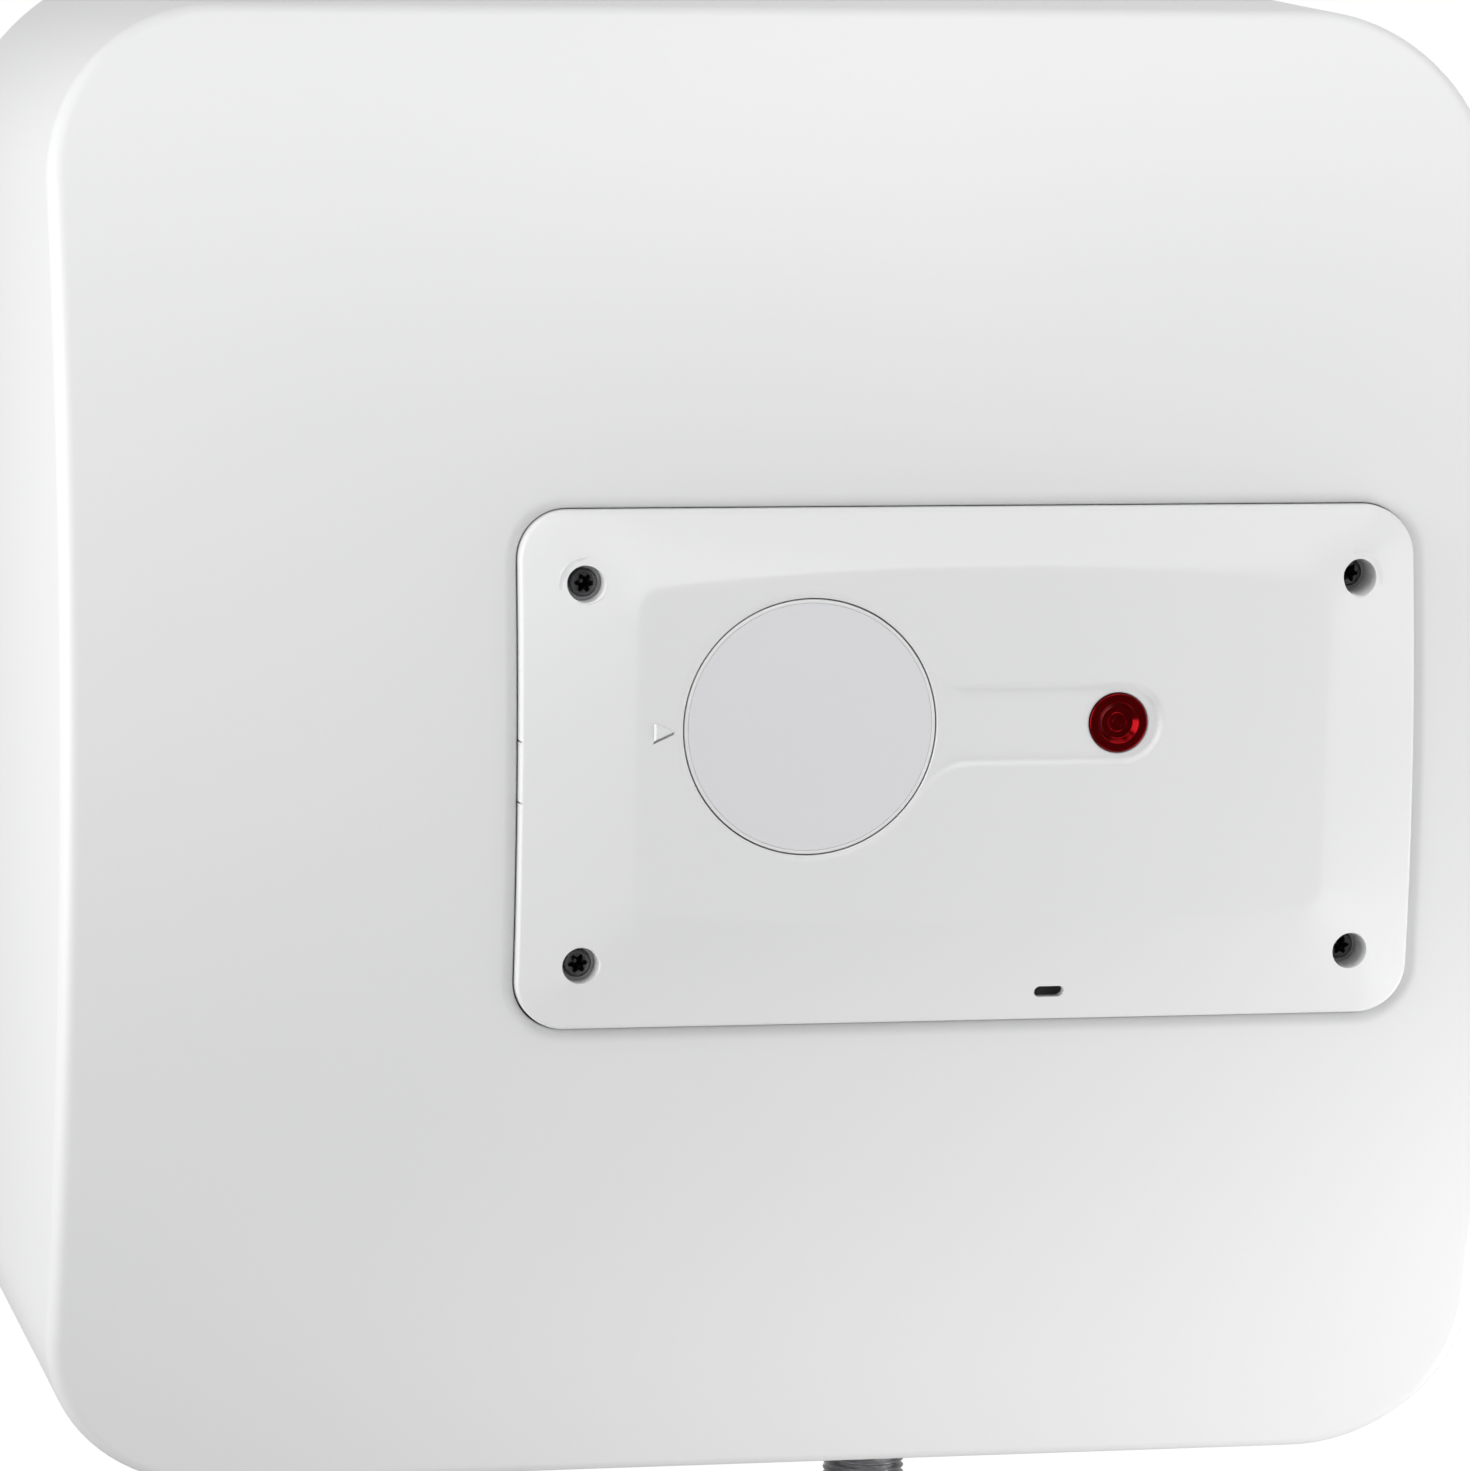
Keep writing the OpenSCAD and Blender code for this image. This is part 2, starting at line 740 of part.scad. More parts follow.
module panel_screws() {
    color([0.08, 0.08, 0.08]) at_body() difference() {
        union() {
            screw_bars(3.5, 0, 2.3);
            screw_bars(1.48, -17, 0);
        }
        for (sx = [-1, 1], sz = [-1, 1])
            translate([screw_x + sx * screw_dx, 0, screw_z + sz * screw_dz])
                between(well_floor(sx, sz) + 0.7, well_floor(sx, sz) + 3)
                    for (a = [0:2]) rotate(60 * a) square([4, 1.3], center = true);
    }
}

module indicator_lens() {
    color([0.6, 0.02, 0.02]) at_body() translate([lens_x, 0, dial_z]) turned() polygon([
        [0, groove_floor - 1.4], [4.4, groove_floor - 1.4], [4.4, 331], [lens_r - 0.1, 331],
        [lens_r, 332], [lens_r, groove_floor + 0.2], [lens_r - 0.6, groove_floor + 0.8],
        [0, groove_floor + 0.8]
    ]);
}

module lamp_holder() {
    color([0.9, 0.9, 0.86]) at_body() translate([lens_x, 0, dial_z]) difference() {
        bar(lens_r - 0.4, 312, 331);
        bar(3.4, 314, 332);
        for (sx = [-1, 1]) translate([sx * 1.8, 0, 0]) bar(0.9, 311, 315);
    }
}

module indicator_lamp() {
    color([0.95, 0.6, 0.4]) at_body() translate([lens_x, 0, dial_z]) {
        bar(3.1, 317, 334);
        translate([0, -334, 0]) sphere(3.1);
    }
}

module element_leads() {
    color([0.1, 0.2, 0.6]) at_body() for (sx = [-1, 1])
        wire([[sx * 10, -310.5, dial_z - 22.1], [sx * 10, -310.5, dial_z - 26],
              [sx * 10.3, -311.5, dial_z - 30], [sx * 11, -314, dial_z - 33.5],
              [sx * 12, -318, dial_z - 34.5], [sx * 13, -321.5, dial_z - 32.5],
              [sx * 13.8, -323, dial_z - 29], [sx * element_x, -321.5, dial_z - 26],
              [sx * element_x, -319, element_z], [sx * element_x, -plate_front - 23, element_z]],
             1.2, [1, 0, 0]);
}

module lamp_leads() {
    color([0.85, 0.85, 0.85]) at_body() for (sx = [-1, 1])
        wire([[lens_x + 1.8 * sx, -313.8, dial_z], [lens_x + 1.8 * sx, -310, dial_z],
              [lens_x - 2 + 1.8 * sx, -306.5 + 1.8 * sx, dial_z - 0.5],
              [lens_x - 8, -305 + 1.8 * sx, dial_z - 2], [60, -305 + 1.8 * sx, dial_z - 5],
              [48, -305 + 1.8 * sx, dial_z - 8], [38, -305 + 1.8 * sx, dial_z - 7],
              [31, -305 + 1.8 * sx, dial_z - 4], [26, -305 + 1.8 * sx, dial_z - 4]],
             0.8, [0, 0, 1]);
}

// ---- hanging ----

module hanger_posts() {
    color([0.62, 0.62, 0.64]) for (sx = [-1, 1]) difference() {
        translate([sx * 60, 0, -34]) {
            bar(7, hanger_depth, 60);
            bar(4, 11, hanger_depth);
        }
        at_body() translate([0, -(tank_back - head_rise + head_r), 0]) sphere(head_r, $fn = 180);
    }
}

module hanger_plate() {
    color([0.6, 0.61, 0.63]) difference() {
        union() {
            translate([0, 0, -23.5]) between(hanger_depth - bracket_t, hanger_depth)
                rounded(190, 41, 4);
            translate([-90, -hanger_depth, -5.5]) cube([180, hanger_depth - 8.4, bracket_t]);
            translate([-90, -10.9, -17.4]) cube([180, bracket_t, 12]);
        }
        for (sx = [-1, 1]) translate([sx * 60, 0, -34]) bar(4.05, 10, hanger_depth + 1);
    }
}

module hanger_nuts() {
    color([0.75, 0.75, 0.77]) for (sx = [-1, 1]) translate([sx * 60, 0, -34])
        nut(13, 4.02, hanger_depth - bracket_t - 6.5, hanger_depth - bracket_t);
}

module wall_bracket() {
    color([0.66, 0.67, 0.69]) difference() {
        union() {
            between(0, bracket_t) rounded(200, 40, 4);
            translate([-96, -14, -20]) cube([192, 14 - 0.5, bracket_t]);
            translate([-96, -14, -20]) cube([192, bracket_t, 12]);
        }
        for (sx = [-1, 1]) translate([sx * wall_hole_spacing / 2, 0, 0]) bar(wall_hole_r, -1, bracket_t + 1);
    }
}

module wall_spacers() {
    color([0.2, 0.2, 0.2]) at_body() for (sx = [-1, 1]) translate([sx * 95, 0, -100])
        bar(10, 0, back_depth);
}

front_shell();
rear_shell();
shell_screws();
front_insulation();
rear_insulation();
tank_barrel();
tank_front_head();
tank_rear_head();
cold_inlet_stub();
hot_outlet_stub();
cold_pipe_collar();
hot_pipe_collar();
inlet_diffuser();
hot_standpipe();
flange_ring();
flange_studs();
flange_gasket();
flange_plate();
flange_nuts();
heating_element();
element_insulators();
element_tabs();
anode_rod();
anode_nut();
thermostat_pocket();
thermostat_probe();
thermostat_body();
thermostat_spindle();
reset_button();
earth_stud();
earth_nut();
dial_knob();
dial_disc();
panel_cover();
panel_screws();
indicator_lens();
lamp_holder();
indicator_lamp();
element_leads();
lamp_leads();
cable_grommet();
hanger_plate();
hanger_posts();
hanger_nuts();
wall_bracket();
wall_spacers();
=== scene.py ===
"""Looks of the wall-hung tank water heater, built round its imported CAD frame."""

import math

import bmesh
import bpy
import numpy as np
from mathutils import Matrix, Vector

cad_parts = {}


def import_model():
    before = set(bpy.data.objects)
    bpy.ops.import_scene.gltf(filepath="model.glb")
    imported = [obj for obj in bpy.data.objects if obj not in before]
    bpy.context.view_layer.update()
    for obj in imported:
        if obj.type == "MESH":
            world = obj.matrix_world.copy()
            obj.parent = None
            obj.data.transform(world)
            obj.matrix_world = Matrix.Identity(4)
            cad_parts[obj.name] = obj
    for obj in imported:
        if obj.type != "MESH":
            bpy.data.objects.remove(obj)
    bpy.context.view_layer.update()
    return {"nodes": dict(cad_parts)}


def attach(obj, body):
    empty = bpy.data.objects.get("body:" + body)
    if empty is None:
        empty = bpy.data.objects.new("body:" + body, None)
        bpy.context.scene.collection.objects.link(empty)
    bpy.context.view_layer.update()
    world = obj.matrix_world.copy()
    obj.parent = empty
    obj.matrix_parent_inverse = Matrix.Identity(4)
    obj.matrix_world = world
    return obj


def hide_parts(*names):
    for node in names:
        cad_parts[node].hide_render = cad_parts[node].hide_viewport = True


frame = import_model()
nodes = frame["nodes"]

# ---- sizes in millimetres: x to the right, depth in front of the wall, z from the casing's centre ----

MM = 0.001
BODY_Z = -105.0
WALL = 2.5

SEAM = 131.0
CROWN = 336.0
CROWN_Z = -17.0
FRONT_R = 430.0
SEAM_SIZE, FRONT_SIZE = 360.0, 356.0
SEAM_CORNER, FRONT_CORNER = 55.5, 39.0
BACK = 8.0
BACK_SIZE, BACK_CORNER = 300.0, 80.0
EDGE_R = 4.0
BACK_EDGE_R = 6.0
SEAM_GAP = 0.12
SEAM_EDGE_R = 0.45
BOTTOM = -179.0

PIPE_X, PIPE_DEPTH = 50.0, 208.3
PIPE_DROP = 36.0
THREAD_R, THREAD_DEPTH, THREAD_PITCH = 10.478, 1.162, 1.814
NECK_R, PIPE_BORE_R, PIPE_TOP = 10.2, 7.5, -118.0
SLOT_R, COLLAR_R = 15.0, 14.6
GROMMET_X, GROMMET_DEPTH = 100.0, 250.0
SHELL_SCREW_AT = 118.0

COVER = dict(w=221.0, h=124.0, r=12.0, cx=41.5, cz=-0.3)
POCKET = dict(w=221.36, h=124.75, r=12.2, cx=41.5, cz=-0.5)
POCKET_DROP = 8.0
POCKET_RIM_W, POCKET_RIM_H = 3.4, 2.2
RIM_RISE = 1.6
COVER_EDGE_R = 0.9
PLATEAU = 343.4
PLATEAU_LEFT, PLATEAU_RIGHT = -42.3, 127.8
SCREW_X, SCREW_Z, SCREW_DX, SCREW_DZ = 41.3, -0.6, 95.3, 45.7
WELL_R, HEAD_R, HEAD_T = 4.4, 3.5, 2.3
WELL_FLOOR_LEFT, WELL_FLOOR_RIGHT, WELL_FLOOR_STEP = 333.0, 327.7, 1.1
DIAL_Z, DIAL_R, DIAL_GAP = 11.0, 30.62, 0.32
DIAL_FACE, DIAL_FLOOR = PLATEAU - 0.6, 332.5
GROOVE_R, GROOVE_DEPTH, GROOVE_WALL = 8.5, 1.2, 1.6
LENS_X, LENS_R = 76.0, 7.15
SLOT_X, SLOT_Z, SLOT_W, SLOT_H = 61.6, -55.0, 7.4, 2.8


# ---- building meshes ----


def world(points):
    """Metres in the row frame from (x, depth, z) rows in millimetres."""
    p = np.asarray(points, float)
    return np.stack([p[:, 0], -p[:, 1], p[:, 2] + BODY_Z], axis=1) * MM


def add_object(name, verts, faces):
    mesh = bpy.data.meshes.new(name)
    mesh.from_pydata([tuple(v) for v in verts], [], [tuple(f) for f in faces])
    obj = bpy.data.objects.new(name, mesh)
    bpy.context.scene.collection.objects.link(obj)
    bm = bmesh.new()
    bm.from_mesh(mesh)
    bmesh.ops.remove_doubles(bm, verts=bm.verts, dist=1e-7)
    bmesh.ops.recalc_face_normals(bm, faces=bm.faces)
    bm.to_mesh(mesh)
    bm.free()
    return obj


def loft(name, rings, closed=False):
    """Skin over rings of equal length. Open lofts get a flat cap at each end."""
    count, n = len(rings), len(rings[0])
    faces = []
    for i in range(count if closed else count - 1):
        a, b = i * n, (i + 1) % count * n
        faces += [(a + k, a + (k + 1) % n, b + (k + 1) % n, b + k) for k in range(n)]
    if not closed:
        faces.append(tuple(range(n))[::-1])
        faces.append(tuple(range((count - 1) * n, count * n)))
    return add_object(name, world(np.concatenate(rings)), faces)


def lathe_rings(profile, centre, along, steps):
    """Rings of a turned shape. The profile is (radius, position along the axis); along is depth or z."""
    turn = np.linspace(0, 2 * np.pi, steps, endpoint=False)
    rings = []
    for r, h in profile:
        u, v = r * np.cos(turn), r * np.sin(turn)
        flat = np.full(steps, float(h))
        if along == "depth":
            rings.append(np.stack([centre[0] + u, flat, centre[1] + v], axis=1))
        else:
            rings.append(np.stack([centre[0] + u, centre[1] + v, flat], axis=1))
    return rings


def lathe(name, profile, centre, along="depth", steps=96, closed=True):
    """Turned shape. A closed profile makes a ring; an open one is capped at both ends."""
    return loft(name, lathe_rings(profile, centre, along, steps), closed)


def arc(cx, cy, r, start, end, steps=6):
    """Points on an arc, angles in degrees."""
    a = np.radians(np.linspace(start, end, steps + 1))
    return [(cx + r * math.cos(t), cy + r * math.sin(t)) for t in a]


def settle(obj):
    """Replace the object's mesh with what its modifiers make of it."""
    bpy.context.view_layer.update()
    done = obj.evaluated_get(bpy.context.evaluated_depsgraph_get())
    mesh = bpy.data.meshes.new_from_object(done)
    obj.modifiers.clear()
    old, obj.data = obj.data, mesh
    bpy.data.meshes.remove(old)


def combine(obj, others, operation):
    """Cut the other objects out of obj, or unite them with it."""
    for other in others:
        mod = obj.modifiers.new("combine", "BOOLEAN")
        mod.operation = operation
        mod.solver = "EXACT"
        mod.object = other
        settle(obj)
        bpy.data.objects.remove(other)


def join(obj, others):
    """Put the other objects' meshes into obj as they are."""
    bm = bmesh.new()
    bm.from_mesh(obj.data)
    for other in others:
        bm.from_mesh(other.data)
        bpy.data.objects.remove(other)
    bm.to_mesh(obj.data)
    bm.free()


def smooth(obj, angle=32):
    """Smooth shading with sharp edges kept, and flat faces kept flat beside fillets."""
    for p in obj.data.polygons:
        p.use_smooth = True
    obj.data.set_sharp_from_angle(angle=math.radians(angle))
    mod = obj.modifiers.new("flats", "WEIGHTED_NORMAL")
    mod.keep_sharp = True
    mod.weight = 80


def bevel(obj, width, segments=2, angle=40):
    mod = obj.modifiers.new("edges", "BEVEL")
    mod.width = width * MM
    mod.segments = segments
    mod.limit_method = "ANGLE"
    mod.angle_limit = math.radians(angle)
    mod.miter_outer = "MITER_ARC"
    settle(obj)


def mount(obj, body, node, material, angle=32):
    """Finish a piece that stands for a CAD node."""
    smooth(obj, angle)
    obj.data.materials.clear()
    obj.data.materials.append(material)
    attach(obj, body)
    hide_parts(node)
    return obj


# ---- outlines in the plane of the front ----


def rounded_gap(x, z, w, h, r, cx=0.0, cz=0.0):
    """Distance outside a rounded rectangle, negative inside."""
    qx = np.abs(x - cx) - (w / 2 - r)
    qz = np.abs(z - cz) - (h / 2 - r)
    away = np.hypot(np.maximum(qx, 0), np.maximum(qz, 0))
    return away + np.minimum(np.maximum(qx, qz), 0) - r


def grown(box, by):
    """A rounded rectangle's description, grown all round."""
    return dict(w=box["w"] + 2 * by, h=box["h"] + 2 * by, r=box["r"] + by, cx=box["cx"], cz=box["cz"])


def cast(gap, angles, centre):
    """Where rays from the centre leave an outline, as x and z."""
    low, high = np.zeros_like(angles), np.full_like(angles, 400.0)
    c, s = np.cos(angles), np.sin(angles)
    for _ in range(44):
        mid = (low + high) / 2
        inside = gap(centre[0] + mid * c, centre[1] + mid * s) < 0
        low, high = np.where(inside, mid, low), np.where(inside, high, mid)
    return centre[0] + low * c, centre[1] + low * s


def outline_angles(centre, boxes, straight, corner_steps):
    """Ray angles that meet each rounded rectangle closely round its corners."""
    found = []
    for b in boxes:
        hx, hz = b["w"] / 2 - b["r"], b["h"] / 2 - b["r"]
        for sx, sz, start in ((1, 1, 0), (-1, 1, 90), (-1, -1, 180), (1, -1, 270)):
            t = np.radians(start + np.linspace(0, 90, corner_steps + 1))
            px = b["cx"] + sx * hx + b["r"] * np.cos(t)
            pz = b["cz"] + sz * hz + b["r"] * np.sin(t)
            found.append(np.arctan2(pz - centre[1], px - centre[0]))
        nx, nz = int(2 * hx / straight) + 1, int(2 * hz / straight) + 1
        sx, sz = np.linspace(-hx, hx, nx), np.linspace(-hz, hz, nz)
        for side in (-1, 1):
            found.append(np.arctan2(b["cz"] + side * b["h"] / 2 - centre[1], b["cx"] + sx - centre[0]))
            found.append(np.arctan2(b["cz"] + sz - centre[1], b["cx"] + side * b["w"] / 2 - centre[0]))
    a = np.sort(np.mod(np.concatenate(found), 2 * np.pi))
    keep = [a[0]]
    for value in a[1:]:
        if value - keep[-1] > math.radians(0.16):
            keep.append(value)
    return np.array(keep)


def front_at(z, set_back=0.0):
    """Depth of the curved front at a height, or of a surface set back from it."""
    centre = CROWN - FRONT_R
    return centre + np.sqrt((FRONT_R - set_back) ** 2 - (z - CROWN_Z) ** 2)


def front_box(depth, inset=0.0):
    """Outline of the front casing at a depth."""
    part = (depth - SEAM) / (CROWN - SEAM)
    size = SEAM_SIZE + (FRONT_SIZE - SEAM_SIZE) * part - 2 * inset
    return dict(w=size, h=size, r=SEAM_CORNER + (FRONT_CORNER - SEAM_CORNER) * part - inset)


def rear_box(depth, inset=0.0):
    """Outline of the rear casing at a depth."""
    part = (depth - BACK) / (SEAM - BACK)
    size = BACK_SIZE + (SEAM_SIZE - BACK_SIZE) * part - 2 * inset
    return dict(w=size, h=size, r=BACK_CORNER + (SEAM_CORNER - BACK_CORNER) * part - inset)


def ring_on(box, angles, centre, depth):
    """Ring where rays meet an outline, at one depth or a depth for each ray."""
    x, z = cast(lambda px, pz: rounded_gap(px, pz, **box), angles, centre)
    return np.stack([x, np.broadcast_to(depth, x.shape), z], axis=1)


def ring_at_front(box, angles, centre, drop=0.0, set_back=0.0):
    """Ring on an outline that follows the curved front, lowered by drop."""
    ring = ring_on(box, angles, centre, 0.0)
    ring[:, 1] = front_at(ring[:, 2], set_back) - drop
    return ring


def prism(name, outline_x, outline_z, d0, d1):
    """Straight solid between two depths."""
    rings = [np.stack([outline_x, np.full_like(outline_x, d), outline_z], axis=1) for d in (d0, d1)]
    return loft(name, rings)


def rounded_outline(box, steps=16):
    """Points round a rounded rectangle."""
    hx, hz = box["w"] / 2 - box["r"], box["h"] / 2 - box["r"]
    xs, zs = [], []
    for sx, sz, start in ((1, 1, 0), (-1, 1, 90), (-1, -1, 180), (1, -1, 270)):
        t = np.radians(start + np.linspace(0, 90, steps + 1))
        xs.append(box["cx"] + sx * hx + box["r"] * np.cos(t))
        zs.append(box["cz"] + sz * hz + box["r"] * np.sin(t))
    return np.concatenate(xs), np.concatenate(zs)


# ---- materials ----


def new_material(name):
    mat = bpy.data.materials.new(name)
    mat.use_nodes = True
    tree = mat.node_tree
    shader = next(n for n in tree.nodes if n.type == "BSDF_PRINCIPLED")
    return mat, tree, shader


def noise(tree, coords, scale, detail=3.0, rough=0.5, stretch=(1, 1, 1)):
    place = tree.nodes.new("ShaderNodeMapping")
    place.inputs["Scale"].default_value = stretch
    tree.links.new(coords, place.inputs["Vector"])
    tex = tree.nodes.new("ShaderNodeTexNoise")
    tex.inputs["Scale"].default_value = scale
    tex.inputs["Detail"].default_value = detail
    tex.inputs["Roughness"].default_value = rough
    tree.links.new(place.outputs["Vector"], tex.inputs["Vector"])
    return tex.outputs["Fac"]


def spread(tree, value, low, high):
    """Map a 0 to 1 pattern onto a range of values."""
    node = tree.nodes.new("ShaderNodeMapRange")
    node.inputs["From Min"].default_value = 0.25
    node.inputs["From Max"].default_value = 0.75
    node.inputs["To Min"].default_value = low
    node.inputs["To Max"].default_value = high
    tree.links.new(value, node.inputs["Value"])
    return node.outputs["Result"]


def two_tone(tree, value, dark, light):
    ramp = tree.nodes.new("ShaderNodeValToRGB")
    ramp.color_ramp.elements[0].position = 0.3
    ramp.color_ramp.elements[0].color = (*dark, 1)
    ramp.color_ramp.elements[1].position = 0.7
    ramp.color_ramp.elements[1].color = (*light, 1)
    tree.links.new(value, ramp.inputs["Fac"])
    return ramp.outputs["Color"]


def finish_material(
    name, dark, light, rough, metal=0.0, grain=900.0, bump=0.02, bump_mm=0.05, patch=6.0, coat=0.0,
    stretch=(1, 1, 1), specular=0.5,
):
    """Surface with slow colour variation, uneven gloss and a fine grain."""
    mat, tree, shader = new_material(name)
    coords = tree.nodes.new("ShaderNodeTexCoord").outputs["Object"]
    slow = noise(tree, coords, patch, 2.0)
    fine = noise(tree, coords, grain, 3.0, 0.6, stretch)
    tree.links.new(two_tone(tree, slow, dark, light), shader.inputs["Base Color"])
    tree.links.new(spread(tree, fine, rough[0], rough[1]), shader.inputs["Roughness"])
    shader.inputs["Metallic"].default_value = metal
    shader.inputs["Specular IOR Level"].default_value = specular
    shader.inputs["Coat Weight"].default_value = coat
    shader.inputs["Coat Roughness"].default_value = 0.15
    height = tree.nodes.new("ShaderNodeBump")
    height.inputs["Strength"].default_value = bump
    height.inputs["Distance"].default_value = bump_mm * MM
    tree.links.new(fine, height.inputs["Height"])
    tree.links.new(height.outputs["Normal"], shader.inputs["Normal"])
    return mat


casing_white = finish_material(
    "casing_white", (0.785, 0.787, 0.79), (0.80, 0.80, 0.80), (0.38, 0.46),
    grain=1400, bump=0.12, bump_mm=0.03,
)
cover_white = finish_material(
    "cover_white", (0.785, 0.787, 0.79), (0.80, 0.80, 0.80), (0.34, 0.42),
    grain=1600, bump=0.08, bump_mm=0.03,
)
dial_white = finish_material(
    "dial_white", (0.79, 0.79, 0.79), (0.80, 0.80, 0.80), (0.3, 0.38), grain=1600, bump=0.05,
)
dial_grey = finish_material(
    "dial_grey", (0.745, 0.745, 0.765), (0.76, 0.76, 0.78), (0.36, 0.44), grain=1800, bump=0.05,
)
black_steel = finish_material(
    "black_steel", (0.12, 0.12, 0.125), (0.18, 0.18, 0.18), (0.24, 0.36), metal=1.0, grain=2500, bump=0.2,
)
zinc_steel = finish_material(
    "zinc_steel", (0.52, 0.53, 0.55), (0.68, 0.68, 0.67), (0.24, 0.42), metal=1.0, grain=420, bump=0.12,
    patch=60, stretch=(1, 1, 0.15),
)
pipe_steel = finish_material(
    "pipe_steel", (0.28, 0.28, 0.29), (0.44, 0.44, 0.44), (0.3, 0.5), metal=1.0, grain=1500, bump=0.15,
    patch=180, stretch=(0.3, 0.3, 1),
)
enamel_blue = finish_material(
    "enamel_blue", (0.02, 0.045, 0.12), (0.035, 0.07, 0.17), (0.15, 0.3),
    grain=300, bump=0.2, patch=30, coat=0.5,
)
copper = finish_material(
    "copper", (0.5, 0.22, 0.12), (0.75, 0.4, 0.26), (0.25, 0.45), metal=1.0, grain=500, bump=0.15, patch=90,
)
brass = finish_material(
    "brass", (0.6, 0.45, 0.2), (0.78, 0.62, 0.33), (0.22, 0.4), metal=1.0, grain=700, bump=0.1, patch=90,
)
foam = finish_material(
    "foam", (0.62, 0.52, 0.3), (0.78, 0.7, 0.47), (0.85, 0.95), grain=260, bump=0.8, bump_mm=0.6, patch=40,
)
inner_plastic = finish_material(
    "inner_plastic", (0.7, 0.69, 0.62), (0.77, 0.76, 0.7), (0.4, 0.55), grain=1200, bump=0.1,
)
collar_blue = finish_material(
    "collar_blue", (0.015, 0.06, 0.3), (0.025, 0.09, 0.38), (0.38, 0.5), grain=1200, bump=0.15,
)
collar_red = finish_material(
    "collar_red", (0.36, 0.015, 0.012), (0.45, 0.03, 0.02), (0.38, 0.5), grain=1200, bump=0.15,
)
black_rubber = finish_material(
    "black_rubber", (0.016, 0.016, 0.017), (0.035, 0.035, 0.036), (0.6, 0.8), grain=900, bump=0.35, patch=80,
)
insulator = finish_material(
    "insulator", (0.72, 0.68, 0.6), (0.82, 0.79, 0.72), (0.3, 0.5), grain=600, bump=0.3, patch=200,
)
magnesium = finish_material(
    "magnesium", (0.36, 0.37, 0.38), (0.55, 0.56, 0.57), (0.4, 0.6), metal=1.0, grain=300, bump=0.3, patch=60,
    stretch=(1, 0.1, 1),
)
bakelite = finish_material(
    "bakelite", (0.014, 0.013, 0.013), (0.03, 0.028, 0.027), (0.28, 0.42), grain=700, bump=0.15, patch=120,
)
button_red = finish_material(
    "button_red", (0.42, 0.02, 0.015), (0.5, 0.03, 0.02), (0.3, 0.4), grain=900, bump=0.1,
)
lead_blue = finish_material(
    "lead_blue", (0.015, 0.05, 0.3), (0.025, 0.08, 0.38), (0.35, 0.45), grain=900, bump=0.15, patch=150,
)
lead_white = finish_material(
    "lead_white", (0.68, 0.68, 0.65), (0.76, 0.76, 0.74), (0.35, 0.45), grain=900, bump=0.15, patch=150,
)
lens_red = finish_material(
    "lens_red", (0.15, 0.001, 0.002), (0.19, 0.002, 0.004), (0.16, 0.24),
    metal=0.9, grain=700, bump=0.03, patch=300,
    specular=0.2,
)
lamp_glass = finish_material(
    "lamp_glass", (0.9, 0.75, 0.65), (0.95, 0.85, 0.75), (0.04, 0.1), grain=500, bump=0.05,
)
lamp_shader = next(n for n in lamp_glass.node_tree.nodes if n.type == "BSDF_PRINCIPLED")
lamp_shader.inputs["Transmission Weight"].default_value = 0.9


# ---- front casing ----


def service_gap(x, z):
    """Distance outside the opening behind the control cover."""
    round_part = np.hypot(x, z) - 52.0
    side_part = rounded_gap(x, z, 122.0, 68.0, 2.0, 61.0, 0.0)
    return np.minimum(round_part, side_part)


def edge_fillet(angles, centre):
    """The ball's centres along the front's edge, and the two directions that its fillet spans."""
    reach = FRONT_R - EDGE_R
    z = np.zeros_like(angles)
    for _ in range(6):
        depth = CROWN - FRONT_R + np.sqrt(reach**2 - (z - CROWN_Z) ** 2)
        box = front_box(depth, EDGE_R)
        x, z = cast(lambda px, pz: rounded_gap(px, pz, **box), angles, centre)
    step = 0.01
    out_x = rounded_gap(x + step, z, **box) - rounded_gap(x - step, z, **box)
    out_z = rounded_gap(x, z + step, **box) - rounded_gap(x, z - step, **box)
    size = np.hypot(out_x, out_z)
    out = np.stack([out_x / size, np.zeros_like(x), out_z / size], axis=1)
    tilt = (z - CROWN_Z) / reach
    face = np.stack([np.zeros_like(x), np.sqrt(1 - tilt**2), tilt], axis=1)
    return np.stack([x, depth, z], axis=1), face, out


